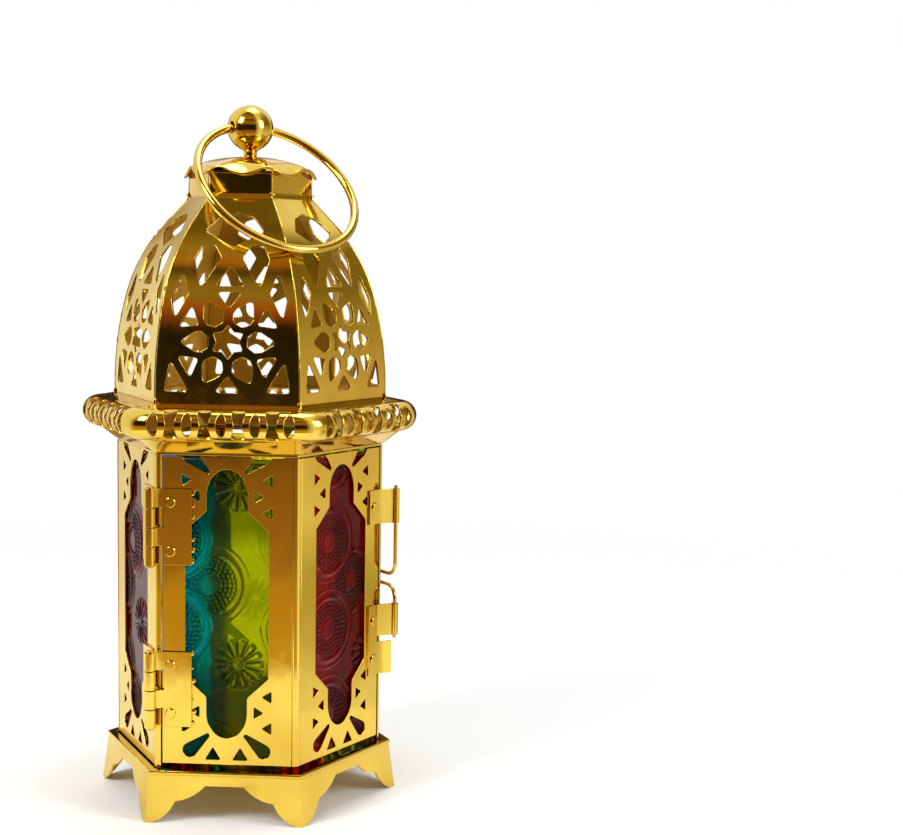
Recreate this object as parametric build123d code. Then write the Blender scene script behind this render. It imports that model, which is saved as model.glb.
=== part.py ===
from build123d import *
import os
from math import cos, degrees, hypot, radians, sin, sqrt, tan, asin

# Six-sided pierced-metal candle lantern with a two-panel door, a domed top and a hanging ring.
# Millimetres, +Z up. The origin is on the floor, under the middle of the tray.
# The hinged front panel faces -Y, and the door's other panel faces front right.

# Plan
sides = 6
sector = 360 / sides
half_sector = sector / 2
quarter_turn = 90
face_names = ("front", "front_right", "back_right", "back", "back_left", "front_left")
face_angles = {name: index * sector - quarter_turn for index, name in enumerate(face_names)}
corner_names = ("hinge", "door", "latch", "back_right", "back_left", "left")
corner_angles = {name: face_angles[face] - half_sector for name, face in zip(corner_names, face_names)}
body_corner_radius = 33.0
body_height = 74.9
sheet = 0.5
seam = 0.15
door_gap = 0.35
overrun = 5.0

# Base tray
tray_height = 12.0
tray_sheet = 0.6
tray_rim_corner_radius = 35.2
tray_foot_corner_radius = 36.9
tray_recess_depth = 1.2
tray_rim_width = 1.5
tray_bead_height = 1.0
tray_bead_proud = 0.45
tray_bead_round = 0.4
apron_arch_height = 8.75
apron_flat_share = 0.243
apron_upper_scallop_shares = (0.374, 0.766)
apron_shelf_shares = (0.623, 0.583)
apron_lower_scallop_shares = (0.715, 0.274)
apron_foot_share = 0.916

# Candle cup
cup_inner_radius = 20.2
cup_height = 8.0
cup_sheet = 0.5
cup_flare = 0.9
cup_flare_height = 1.4
cup_rivet_radius = 1.0
cup_rivet_head_radius = 2.2
cup_rivet_head_height = 0.7
cup_rivet_sink = 0.05

# Pierced body panels, drawn about the middle of the window
door_lift = 1.3
window_lower_margin = 8.8
window_upper_margin = 3.1
window_width = 19.4
window_end_height = 14.3
window_neck_width = 9.5
window_flare_height = 4.6
window_arch_rise = 6.0
triangle_half_base = 1.4
side_triangle_shares = ((0.636, 0.497, 0.92), (0.385, 0.521, 0.803), (0.636, 0.497, 0.683))
drop_radius = 1.7
drop_tip_radius = 0.5
drop_bulb_shares = (0.521, 1.095)
drop_tip_shares = (0.273, 0.984)
end_triangle_shares = (0.194, 1.07, 1.165, 0.112)

# Glass panes and the bent tabs that hold them
pane_half_width = 11.2
pane_thickness = 2.0
pane_edge_margin = 0.6
tab_width = 3.2
tab_sheet = 0.4
tab_lip = 1.2
tab_gap = 0.1
tab_height_shares = (-0.62, 0.0, 0.62)

# Corner posts: a rounded bead outside, with wings behind the panels
post_radius = 2.0
post_wall = 1.2
post_proud = 0.1
wing_reach = 4.6
wing_sheet = 0.5

# Header band over the panels
header_height = 0.6
header_wall = 0.9

# Butt hinges
hinge_length = 18.0
hinge_leaf_width = 6.4
hinge_leaf_sheet = 0.6
hinge_axis_offset = 1.75
hinge_barrel_radius = 1.35
hinge_pin_radius = 0.6
hinge_pin_clearance = 0.1
hinge_pin_head_radius = 0.95
hinge_pin_head_height = 0.35
hinge_knuckles = 4
hinge_knuckle_gap = 0.25
hinge_strap_angles = (-65, -5)
hinge_leaf_setback = 0.55
hinge_from_floor = 20.2
hinge_from_top = 16.6
hinge_rivet_spacing = 11.4
hinge_rivet_from_edge = 3.5

# Rivets
rivet_radius = 0.7
rivet_clearance = 0.05
rivet_head_radius = 1.2
rivet_head_height = 0.4
rivet_tail_radius = 0.9
rivet_tail_height = 0.4
rivet_chamfer = 0.15

# Clasp: two brackets on the door, a wire bail that swings in them, and a lug to hook it on
clasp_axis_out = 3.4
clasp_sheet = 0.5
clasp_barrel_radius = 0.9
clasp_leaf_width = 3.5
clasp_bend_from_corner = 2.2
clasp_from_top = 14.9
clasp_barrel_length = {"upper": 8.4, "lower": 7.8}
clasp_pull_length = 8.0
clasp_pull_gap = 1.5
clasp_pull_reach_share = 0.82
clasp_rivet_from_bend = 1.5
bail_wire_radius = 0.45
bail_clearance = 0.13
bail_reach = 8.0
bail_nose_height = 2.8
bail_below_bracket = 18.8
bail_bracket_gap = 1.0
bail_bend_radius = 3.2
bail_nose_radius = 1.2
bail_tail = 0.8
lug_height = 1.3
lug_sheet = 0.4
lug_width = 1.3
lug_thickness = 1.2
lug_clearance = 0.32
lug_base_width = 4.6
lug_base_length = 4.2

# Collar: a bulging pierced strip between the body and the dome
collar_height = 11.3
collar_sheet = 0.6
collar_inner_apothem = 27.9
collar_corner_axis_in = 0.6
collar_tip_apothem = 36.9
collar_lip = 1.0
collar_bulge_from_tip = 3.8
collar_lower_rise = 3.3
collar_upper_drop = 0.8
collar_tip_share = 0.628
collar_ovals = 5
collar_pitch = 3.85
collar_oval_width = 2.0
collar_oval_height = 5.4
collar_gap_height = 6.4
collar_gap_waist = 1.7
collar_gap_end = 3.4

# Dome: six curved pierced panels that run up into the neck
dome_corner_radius = 33.4
dome_sheet = 0.5
dome_wall_height = 2.4
dome_lower_radius = 94.0
dome_lower_angle = 13.5
dome_upper_radius = 44.0
dome_slope_angle = 39.0
neck_corner_radius = 15.0
neck_fillet = 2.2
neck_height = 4.6
rosette_above_base = 14.2
rosette_radius = 11.5
star_point_share = 0.345
star_notch_share = 0.23
petal_shares = ((0.39, 0.1), (0.54, 0.21), (0.66, 0.2))
petal_tip_share = 0.985
wedge_tip_share = 0.67
wedge_end_shares = (1.01, 0.26)
dome_border_shares = (
    ((0.527, 0.053), (0.865, 0.053), (0.793, 0.199)),
    ((0.56, 0.5), (0.75, 0.375), (0.8, 0.47), (0.66, 0.61)),
    ((0.145, 0.67), (0.415, 0.515), (0.52, 0.66), (0.42, 0.735), (0.26, 0.735)),
)
dome_middle_shares = (
    ((0.205, 0.533), (0.0, 0.632), (-0.205, 0.533)),
    ((0.0, 0.724), (0.415, 0.807), (0.242, 0.887), (0.0, 0.92), (-0.242, 0.887), (-0.415, 0.807)),
)

# Cap and finial
plate_thickness = 0.6
cap_lobes = 8
cap_lobe_radius = 16.3
cap_lobe_turn_share = 0.07
cap_shoulder_from_rim = 0.95
cap_shoulder_rise = 0.95
cap_lip_drop = 1.0
cap_lip_sheet = 0.4
cap_scallop_height = 1.5
cap_scallop_width_share = 0.8
cap_crown_radius = 3.4
cap_rise = 3.8
cap_bow = 0.55
cap_sheet = 0.6
cap_hub_radius = 2.6
stem_radius = 1.7
stem_height = 1.5
ball_radius = 5.5
screw_radius = 1.0
screw_clearance = 0.06
screw_head_radius = 2.2
screw_head_height = 1.2
screw_reach = 3.4

# Hanging ring
ring_radius = 19.8
ring_wire_radius = 0.85
ring_hole_clearance = 0.15
ring_lean_angle = -51
ring_rest_gap = 0.15
ring_search_steps = 12
ring_samples = 60


# Sizes worked out from the driving dimensions
def apothem_of(corner_radius):
    return corner_radius * cos(radians(half_sector))


body_apothem = apothem_of(body_corner_radius)
half_side = body_corner_radius / 2
floor_z = tray_height - tray_recess_depth
body_top_z = floor_z + body_height
door_bottom_z = tray_height + door_lift
door_top_z = body_top_z - door_gap
window_height = body_height - window_lower_margin - window_upper_margin
window_wide_height = window_height - 2 * window_end_height
window_z = floor_z + window_lower_margin + window_height / 2
header_top_z = body_top_z + header_height
dome_base_z = header_top_z + collar_height
post_center_radius = (body_apothem + post_proud - post_radius) / cos(radians(half_sector))
post_setback = (body_corner_radius - post_center_radius) * sin(radians(half_sector))
panel_edge = half_side - post_setback - seam
door_edge = half_side - post_setback - door_gap
pane_inner_depth = sheet + pane_thickness
dome_apothem = apothem_of(dome_corner_radius)
neck_apothem = apothem_of(neck_corner_radius)
ring_sagitta = ring_radius - sqrt(ring_radius**2 - ball_radius**2)
ring_hole_radius = ring_wire_radius + ring_sagitta / 2 + ring_hole_clearance


def heading(angle, reach=1.0):
    """Point at a distance from the axis, in a compass direction."""
    return Vector(reach * cos(radians(angle)), reach * sin(radians(angle)))


def face_frame(angle, apothem):
    """Plane on a face: X to the right as seen from outside, Y up, Z outward."""
    outward = heading(angle)
    return Plane(origin=outward * apothem, x_dir=heading(angle + quarter_turn), z_dir=outward)


def slab(low, high):
    """Box between two corners."""
    size = [b - a for a, b in zip(low, high)]
    return Pos(*low) * Box(*size, align=(Align.MIN, Align.MIN, Align.MIN))


def prism(corner_radius, z_low, z_high):
    """Upright six-sided prism."""
    outline = RegularPolygon(corner_radius, sides)
    return Pos(0, 0, z_low) * extrude(outline, amount=z_high - z_low)


def mirrored(points):
    return [(-x, y) for x, y in reversed(points)]


# Base tray
def skirt_corner_radius(z):
    return tray_foot_corner_radius + (tray_rim_corner_radius - tray_foot_corner_radius) * z / tray_height


def skirt_solid(z_low, z_high, inset):
    """Six-sided frustum that follows the skirt, set in by a wall thickness."""
    narrower = inset / cos(radians(half_sector))
    outlines = []
    for z in (z_low, z_high):
        outlines.append(Pos(0, 0, z) * RegularPolygon(skirt_corner_radius(z) - narrower, sides))
    return loft(outlines)


def apron_arch():
    """Opening between two feet: a flat top with two scallops down to each foot."""
    half_foot = tray_foot_corner_radius / 2

    def at(shares):
        return (shares[0] * half_foot, shares[1] * apron_arch_height)

    flat = at((apron_flat_share, 1))
    shelf = at(apron_shelf_shares)
    foot = at((apron_foot_share, 0))
    right = [
        ThreePointArc(flat, at(apron_upper_scallop_shares), shelf),
        ThreePointArc(shelf, at(apron_lower_scallop_shares), foot),
        Line(foot, (foot[0], -overrun)),
    ]
    left = [edge.mirror(Plane.YZ) for edge in right]
    joins = [Line(flat, (-flat[0], flat[1])), Line((-foot[0], -overrun), (foot[0], -overrun))]
    return make_face(right + left + joins)


def base_tray():
    body = skirt_solid(0, tray_height, 0)
    bead = prism(tray_rim_corner_radius + tray_bead_proud, tray_height - tray_bead_height, tray_height)
    outer_edges = bead.edges().filter_by(Axis.Z, reverse=True)
    body += fillet(outer_edges, tray_bead_round)
    body -= skirt_solid(-overrun, floor_z - tray_sheet, tray_sheet)
    recess_radius = tray_rim_corner_radius - tray_rim_width / cos(radians(half_sector))
    body -= prism(recess_radius, floor_z, tray_height + overrun)
    arch = extrude(apron_arch(), amount=overrun, both=True)
    for angle in face_angles.values():
        body -= face_frame(angle, apothem_of(tray_foot_corner_radius)) * arch
    hole = Cylinder(cup_rivet_radius + rivet_clearance, tray_height + overrun)
    return body - Pos(0, 0, floor_z) * hole


# Candle cup and its rivet
def candle_cup():
    outer = cup_inner_radius + cup_sheet
    rim = (outer + cup_flare, cup_height)
    lip = (cup_inner_radius + cup_flare, cup_height)
    flare_z = cup_height - cup_flare_height
    outline = Polyline(
        (cup_rivet_radius + rivet_clearance, 0),
        (outer, 0),
        (outer, flare_z),
        rim,
        lip,
        (cup_inner_radius, flare_z),
        (cup_inner_radius, cup_sheet),
        (cup_rivet_head_radius + rivet_clearance, cup_sheet),
        close=True,
    )
    return Pos(0, 0, floor_z) * revolve(Plane.XZ * make_face(outline), Axis.Z)


def cup_rivet():
    """Countersunk rivet: just under the cup's floor, and headed over under the tray."""
    top = tray_sheet + cup_sheet - cup_rivet_sink
    cone = (cup_rivet_head_radius - cup_rivet_radius) * (cup_sheet - cup_rivet_sink) / cup_sheet
    outline = Polyline(
        (0, -cup_rivet_head_height),
        (cup_rivet_head_radius - rivet_chamfer, -cup_rivet_head_height),
        (cup_rivet_head_radius, rivet_chamfer - cup_rivet_head_height),
        (cup_rivet_head_radius, 0),
        (cup_rivet_radius, 0),
        (cup_rivet_radius, tray_sheet),
        (cup_rivet_radius + cone, top),
        (0, top),
        close=True,
    )
    return Pos(0, 0, floor_z - tray_sheet) * revolve(Plane.XZ * make_face(outline), Axis.Z)


# Pierced panels
def window():
    """Tall cartouche: a wide middle that narrows to a round-ended neck above and below."""
    half_wide = window_width / 2
    half_neck = window_neck_width / 2
    shoulder = window_wide_height / 2
    neck = shoulder + window_flare_height
    spring = window_height / 2 - window_arch_rise
    opening = Rectangle(window_width, window_wide_height) + Rectangle(window_neck_width, 2 * spring)
    flare = Polygon(
        (half_wide, shoulder), (half_neck, neck), (-half_neck, neck), (-half_wide, shoulder), align=None
    )
    arch = Pos(0, spring) * Ellipse(half_neck, window_arch_rise)
    for piece in (flare, arch):
        opening += [piece, piece.mirror(Plane.XZ)]
    return opening


def drop():
    """Teardrop hole that leans out from the end of the window."""
    bulb = (drop_bulb_shares[0] * half_side, drop_bulb_shares[1] * window_height / 2)
    tip = (drop_tip_shares[0] * half_side, drop_tip_shares[1] * window_height / 2)
    rounds = Pos(*bulb) * Circle(drop_radius) + Pos(*tip) * Circle(drop_tip_radius)
    return make_hull(rounds.edges())


def side_holes():
    """Holes beside the upper right quarter of the window."""
    holes = [drop()]
    for base, apex, height in side_triangle_shares:
        z = height * window_height / 2
        corners = [
            (base * half_side, z - triangle_half_base),
            (base * half_side, z + triangle_half_base),
            (apex * half_side, z),
        ]
        holes.append(Polygon(*corners, align=None))
    return holes


def end_triangle():
    across, apex, base, half = end_triangle_shares
    corners = [
        (across * half_side, -apex * window_height / 2),
        ((across - half) * half_side, -base * window_height / 2),
        ((across + half) * half_side, -base * window_height / 2),
    ]
    return Polygon(*corners, align=None)


def piercing():
    """All holes of one body panel, about the middle of its window."""
    holes = [window(), end_triangle(), end_triangle().mirror(Plane.YZ)]
    for hole in side_holes():
        for upright in (hole, hole.mirror(Plane.YZ)):
            holes += [upright, upright.mirror(Plane.XZ)]
    return holes


def pane_tab(height_share):
    """Strip bent in behind the right edge of a pane."""
    z = window_z + height_share * window_height / 2
    back = pane_inner_depth + tab_gap
    outer = pane_half_width + tab_gap + tab_sheet
    riser = slab((outer - tab_sheet, z - tab_width / 2, -back - tab_sheet), (outer, z + tab_width / 2, -sheet))
    lip = slab(
        (pane_half_width - tab_lip, z - tab_width / 2, -back - tab_sheet), (outer, z + tab_width / 2, -back)
    )
    return riser + lip


pierced_holes = piercing()
pane_tabs = [pane_tab(share) for share in tab_height_shares]


def panel(angle, z_low, z_high, left, right, rivets=()):
    """Pierced sheet with its pane tabs. Rivet holes are given across and up the face."""
    blank = Polygon((left, z_low), (right, z_low), (right, z_high), (left, z_high), align=None)
    blank -= [Pos(0, window_z) * hole for hole in pierced_holes]
    blank -= [Pos(*place) * Circle(rivet_radius + rivet_clearance) for place in rivets]
    body = extrude(blank, amount=-sheet)
    for tab in pane_tabs:
        body += [tab, tab.mirror(Plane.YZ)]
    return face_frame(angle, body_apothem) * body


def pane(angle):
    low = (-pane_half_width, door_bottom_z + pane_edge_margin, -pane_inner_depth)
    high = (pane_half_width, door_top_z - pane_edge_margin, -sheet)
    return face_frame(angle, body_apothem) * slab(low, high)


# Corner posts and the header band
def post(angle, z_low, z_high, wing_sides, rivets=()):
    """Rounded corner strip with a wing behind each panel that it joins."""
    center = heading(angle, post_center_radius)
    bead = Circle(post_radius) - Circle(post_radius - post_wall)
    spread = [heading(angle + turn, overrun) for turn in (-half_sector, 0, half_sector)]
    section = Pos(*center) * (bead & Polygon((0, 0), *spread, align=None))
    body = Pos(0, 0, z_low) * extrude(section, amount=z_high - z_low)
    wing_out = half_side - post_setback
    for side in wing_sides:
        ends = sorted((-side * (wing_out + seam), -side * (half_side - wing_reach)))
        wing = slab((ends[0], z_low, -sheet - wing_sheet), (ends[1], z_high, -sheet))
        for z in rivets:
            place = Pos(-side * (half_side - hinge_rivet_from_edge), z, -sheet)
            wing -= place * Cylinder(rivet_radius + rivet_clearance, overrun)
        body += face_frame(angle + side * half_sector, body_apothem) * wing
    return body


def header():
    """Band that crosses over the door and carries the collar."""
    outline = RegularPolygon(body_corner_radius, sides)
    outline = fillet(outline.vertices(), post_radius)
    opening = offset(outline, -header_wall)
    return Pos(0, 0, body_top_z) * extrude(outline - opening, amount=header_height)


# Hinges at the left edge of the front panel
hinge_axis_radius = (body_apothem + hinge_axis_offset) / cos(radians(half_sector))
hinge_axis_across = half_side + (hinge_axis_radius - body_corner_radius) * sin(radians(half_sector))
hinge_leaf_start = door_edge - hinge_leaf_setback
hinge_rivet_across = half_side - hinge_rivet_from_edge
hinge_z = {"lower": floor_z + hinge_from_floor, "upper": body_top_z - hinge_from_top}
hinge_rivet_z = [z + side * hinge_rivet_spacing / 2 for z in hinge_z.values() for side in (-1, 1)]


def hinge_leaf(z_mid, first_knuckle):
    """Leaf at the left end of a face, with every second knuckle of the barrel."""
    length = hinge_length - hinge_knuckle_gap
    z_low = z_mid - length / 2
    plate = slab(
        (-hinge_leaf_start, z_low, 0), (hinge_leaf_width - hinge_leaf_start, z_low + length, hinge_leaf_sheet)
    )
    for side in (-1, 1):
        place = Pos(-hinge_rivet_across, z_mid + side * hinge_rivet_spacing / 2, 0)
        plate -= place * Cylinder(rivet_radius + rivet_clearance, overrun)
    axis = (-hinge_axis_across, hinge_axis_offset)
    tangents = []
    for turn in hinge_strap_angles:
        reach = heading(turn, hinge_barrel_radius)
        tangents.append((axis[0] + reach.X, axis[1] + reach.Y))
    strap = Polygon(
        axis, tangents[0], (-hinge_leaf_start, 0), (-hinge_leaf_start, hinge_leaf_sheet), tangents[1], align=None
    )
    section = strap + Pos(*axis) * Circle(hinge_barrel_radius)
    section -= Pos(*axis) * Circle(hinge_pin_radius + hinge_pin_clearance)
    pitch = hinge_length / hinge_knuckles
    across_face = Plane(origin=(0, 0, 0), x_dir=(1, 0, 0), z_dir=(0, -1, 0))
    leaf = plate
    for index in range(first_knuckle, hinge_knuckles, 2):
        top = z_mid + hinge_length / 2 - index * pitch - hinge_knuckle_gap / 2
        knuckle = extrude(across_face * section, amount=pitch - hinge_knuckle_gap)
        leaf += Pos(0, top, 0) * knuckle
    return leaf


def hinge_pin(z_mid):
    half = hinge_length / 2
    pin = Cylinder(hinge_pin_radius, hinge_length)
    head = Cylinder(hinge_pin_head_radius, hinge_pin_head_height, align=(Align.CENTER, Align.CENTER, Align.MIN))
    head = chamfer(head.edges().group_by(Axis.Z)[-1], rivet_chamfer)
    pin += [Pos(0, 0, half) * head, Pos(0, 0, -half) * head.mirror(Plane.XY)]
    return Pos(heading(corner_angles["hinge"], hinge_axis_radius) + Vector(0, 0, z_mid)) * pin


def rivet(outer_sheet, inner_sheet):
    """Rivet at the origin of a face: head outside the outer sheet, tail inside the inner ones."""
    depth = sheet + inner_sheet
    shank = Pos(0, 0, -depth) * Cylinder(
        rivet_radius, depth + outer_sheet, align=(Align.CENTER, Align.CENTER, Align.MIN)
    )
    head = Cylinder(rivet_head_radius, rivet_head_height, align=(Align.CENTER, Align.CENTER, Align.MIN))
    head = chamfer(head.edges().group_by(Axis.Z)[-1], rivet_chamfer)
    tail = Cylinder(rivet_tail_radius, rivet_tail_height, align=(Align.CENTER, Align.CENTER, Align.MAX))
    return shank + Pos(0, 0, outer_sheet) * head + Pos(0, 0, -depth) * tail


# Clasp at the right edge of the door's side panel
clasp_axis = heading(corner_angles["latch"], body_corner_radius + clasp_axis_out)
clasp_face = face_frame(face_angles["front_right"], body_apothem)
clasp_axis_local = clasp_face.to_local_coords(clasp_axis)
clasp_bend = half_side - clasp_bend_from_corner
clasp_rivet_across = clasp_bend - clasp_rivet_from_bend
clasp_upper_z = body_top_z - clasp_from_top
bail_z = clasp_upper_z - bail_below_bracket
bail_bend_z = bail_z - bail_nose_height / 2 - bail_bend_radius
clasp_lower_z = bail_bend_z - bail_bracket_gap - clasp_barrel_length["lower"] / 2
clasp_z = {"upper": clasp_upper_z, "lower": clasp_lower_z}
clasp_low_z = {name: z - clasp_barrel_length[name] / 2 for name, z in clasp_z.items()}
pull_z = clasp_low_z["lower"] - clasp_pull_gap - clasp_pull_length / 2
clasp_rivet_places = [(clasp_rivet_across, z) for z in (*clasp_z.values(), pull_z)]


def clasp_fin(reach_share, with_barrel):
    """Section of a bracket: flat leaf, fin bent out past the corner, and a rolled eye."""
    start = Vector(clasp_bend, clasp_sheet / 2)
    end = Vector(clasp_axis_local.X, clasp_axis_local.Z)
    run = end - start
    normal = Vector(-run.Y, run.X).normalized() * (clasp_sheet / 2)
    tip = start + run * reach_share
    section = Polygon(start - normal, tip - normal, tip + normal, start + normal, align=None)
    leaf_low = (clasp_bend - clasp_leaf_width, 0)
    section += Pos(*leaf_low) * Rectangle(clasp_leaf_width, clasp_sheet, align=(Align.MIN, Align.MIN))
    section += Pos(start.X, start.Y) * (Circle(clasp_sheet / 2) & Rectangle(clasp_sheet, clasp_sheet))
    if with_barrel:
        section += Pos(end.X, end.Y) * Circle(clasp_barrel_radius)
        section -= Pos(end.X, end.Y) * Circle(bail_wire_radius + bail_clearance)
    return section


def clasp_bracket(name):
    """Bracket in the frame of the door's side panel."""
    upright = Plane(origin=(0, clasp_low_z[name], 0), x_dir=(1, 0, 0), z_dir=(0, -1, 0))
    bracket = extrude(upright * clasp_fin(1, True), amount=-clasp_barrel_length[name])
    rivets = [clasp_z[name]]
    if name == "lower":
        below = clasp_low_z[name] - clasp_pull_gap - clasp_pull_length
        lower = Plane(origin=(0, below, 0), x_dir=(1, 0, 0), z_dir=(0, -1, 0))
        bracket += extrude(lower * clasp_fin(clasp_pull_reach_share, False), amount=-clasp_pull_length)
        web_low = (clasp_bend - clasp_leaf_width, clasp_low_z[name] - clasp_pull_gap, 0)
        bracket += slab(web_low, (clasp_bend, clasp_low_z[name], clasp_sheet))
        rivets.append(pull_z)
    for z in rivets:
        bracket -= Pos(clasp_rivet_across, z, 0) * Cylinder(rivet_radius + rivet_clearance, overrun)
    return clasp_face * bracket


# The bail lies over the lug, lifted just clear of its tip
lug_face = face_frame(face_angles["back_right"], body_apothem)
bail_axis_local = lug_face.to_local_coords(clasp_axis)
bail_rest_lift = lug_height + bail_wire_radius + lug_clearance
bail_rest_dip = degrees(asin((bail_axis_local.Z - bail_rest_lift) / bail_reach))


def clasp_bail():
    """Wire that turns in both eyes, cranked into a narrow nose that reaches round the corner."""
    dip = radians(bail_rest_dip)
    toward = lug_face.x_dir * cos(dip) - lug_face.z_dir * sin(dip)
    frame = Plane(origin=clasp_axis, x_dir=toward, z_dir=toward.cross(Vector(0, 0, 1)))
    half_nose = bail_nose_height / 2
    top = clasp_z["upper"] + clasp_barrel_length["upper"] / 2 + bail_tail
    bottom = clasp_low_z["lower"] - bail_tail
    corners = [
        (0, top),
        (0, bail_z + half_nose),
        (bail_reach, bail_z + half_nose),
        (bail_reach, bail_z - half_nose),
        (0, bail_z - half_nose),
        (0, bottom),
    ]
    radii = [bail_bend_radius, bail_nose_radius, bail_nose_radius, bail_bend_radius]
    path = frame * FilletPolyline(*corners, radius=radii)
    return sweep(Plane(path @ 0, z_dir=path % 0) * Circle(bail_wire_radius), path=path)


def clasp_catch():
    """Soldered plate with the lug that the bail's nose hooks over."""
    lug_far = bail_axis_local.X + bail_reach - bail_wire_radius - lug_clearance
    base = slab(
        (lug_far - lug_base_length, bail_z - lug_base_width / 2, 0), (lug_far, bail_z + lug_base_width / 2, lug_sheet)
    )
    lug = slab((lug_far - lug_thickness, bail_z - lug_width / 2, 0), (lug_far, bail_z + lug_width / 2, lug_height))
    return lug_face * (base + lug)


# Collar
def collar_outline(inset, inner):
    """Filled section of the collar, set in by a wall thickness and closed at an inner edge."""
    low = header_top_z + inset
    high = dome_base_z - inset
    bulge = collar_tip_apothem - collar_bulge_from_tip
    flat = collar_inner_apothem + collar_lip
    lower = (bulge, low + collar_lower_rise)
    upper = (bulge, high - collar_upper_drop)
    tip = (collar_tip_apothem - inset, low + collar_tip_share * (high - low))
    edges = [
        Polyline((inner, high), (inner, low), (flat, low), lower),
        ThreePointArc(lower, tip, upper),
        Polyline(upper, (flat, high), (inner, high)),
    ]
    return make_face(edges)


def collar_holes():
    """Holes of one side: upright ovals, with waisted gaps between them."""
    half_gap = collar_gap_height / 2
    waist = collar_gap_waist / 2
    end = collar_gap_end / 2
    gap = Polygon(
        (end, -half_gap), (waist, 0), (end, half_gap), (-end, half_gap), (-waist, 0), (-end, -half_gap), align=None
    )
    oval = Ellipse(collar_oval_width / 2, collar_oval_height / 2)
    middle = header_top_z + collar_tip_share * collar_height
    count = 2 * collar_ovals - 1
    holes = []
    for index in range(count):
        across = (index - (count - 1) / 2) * collar_pitch
        holes.append(Pos(across, middle) * (gap if index % 2 else oval))
    return holes


def collar():
    strip = collar_outline(0, collar_inner_apothem) - collar_outline(collar_sheet, collar_inner_apothem - overrun)
    axis_apothem = collar_inner_apothem - collar_corner_axis_in
    half_straight = axis_apothem * tan(radians(half_sector))
    upright = Plane.XZ * strip
    straight = Pos(0, half_straight, 0) * extrude(upright, amount=2 * half_straight)
    corner_axis = Axis((axis_apothem, half_straight, 0), (0, 0, 1))
    corner = revolve(Pos(0, half_straight, 0) * upright, corner_axis, sector)
    cut = extrude(Sketch() + collar_holes(), amount=overrun + collar_tip_apothem - body_apothem)
    body = Part()
    cuts = []
    for angle in face_angles.values():
        body += [Rot(0, 0, angle) * straight, Rot(0, 0, angle) * corner]
        cuts.append(face_frame(angle, body_apothem) * cut)
    return body - cuts


# Dome panels
class DomeCurve:
    """Middle line of a dome panel, outward and up, set in by part of the sheet."""

    def __init__(self, inset):
        lower = radians(dome_lower_angle)
        slope = radians(dome_slope_angle)
        low_radius = dome_lower_radius - inset
        high_radius = dome_upper_radius - inset
        neck_radius = neck_fillet + inset
        self.turns = (0, lower, slope)
        self.radii = (low_radius, high_radius)
        start = Vector(dome_apothem - inset, dome_base_z)
        wall = start + Vector(0, dome_wall_height)
        arc_low = wall + Vector(low_radius * (cos(lower) - 1), low_radius * sin(lower))
        arc_high = arc_low + Vector(
            high_radius * (cos(slope) - cos(lower)), high_radius * (sin(slope) - sin(lower))
        )
        fillet_in = neck_radius * (1 - cos(slope))
        run = (arc_high.X - (neck_apothem - inset) - fillet_in) / sin(slope)
        ramp = arc_high + Vector(-run * sin(slope), run * cos(slope))
        neck = ramp + Vector(-fillet_in, neck_radius * sin(slope))
        self.points = [start, wall, arc_low, arc_high, ramp, neck]
        self.lengths = [dome_wall_height, low_radius * lower, high_radius * (slope - lower), run]

    def edges(self):
        start, wall, arc_low, arc_high, ramp, neck = self.points
        return [
            Line(start, wall),
            RadiusArc(wall, arc_low, -self.radii[0]),
            RadiusArc(arc_low, arc_high, -self.radii[1]),
            Line(arc_high, ramp),
            TangentArc(ramp, neck, tangent=ramp - arc_high),
            Line(neck, self.top_point()),
        ]

    def top_point(self):
        return Vector(self.points[-1].X, neck_top_z)

    def at(self, along):
        """Point at a length up the curve, and the lean of the sheet there in radians."""
        wall, low_arc, high_arc, _ = self.lengths
        if along <= wall:
            return self.points[0] + Vector(0, along), 0
        along -= wall
        if along <= low_arc:
            return self.on_arc(self.points[1], self.radii[0], 0, along)
        along -= low_arc
        if along <= high_arc:
            return self.on_arc(self.points[2], self.radii[1], self.turns[1], along)
        along -= high_arc
        lean = self.turns[2]
        return self.points[3] + Vector(-along * sin(lean), along * cos(lean)), lean

    def on_arc(self, start, radius, lean, along):
        end = lean + along / radius
        return start + Vector(radius * (cos(end) - cos(lean)), radius * (sin(end) - sin(lean))), end


dome_curve = DomeCurve(0)
dome_pattern_length = sum(dome_curve.lengths)
dome_half_width = dome_corner_radius / 2
neck_top_z = dome_curve.points[-1].Y + neck_height


def rosette():
    """Six-pointed star, petals round it and wedges between their tips, across and along the sheet."""
    def polar(share, aside, turn):
        reach = heading(turn, share * rosette_radius) + heading(turn + quarter_turn, aside * rosette_radius)
        return (reach.X, reach.Y + rosette_above_base)

    star = []
    shapes = []
    for index in range(sides):
        turn = index * sector
        star.append(polar(star_notch_share, 0, turn))
        star.append(polar(star_point_share, 0, turn + half_sector))
        petal = [polar(reach, -half, turn) for reach, half in petal_shares] + [polar(petal_tip_share, 0, turn)]
        petal += [polar(reach, half, turn) for reach, half in reversed(petal_shares)]
        reach, half = wedge_end_shares
        between = turn + half_sector
        wedge = [polar(wedge_tip_share, 0, between), polar(reach, -half, between), polar(reach, half, between)]
        shapes += [petal, wedge]
    return [star] + shapes


def dome_holes():
    """Outlines of all holes of one panel, across and along the sheet."""
    def place(shares):
        return [(across * dome_half_width, along * dome_pattern_length) for across, along in shares]

    outlines = rosette()
    for shares in dome_border_shares:
        outlines += [place(shares), mirrored(place(shares))]
    return outlines + [place(shares) for shares in dome_middle_shares]


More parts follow.
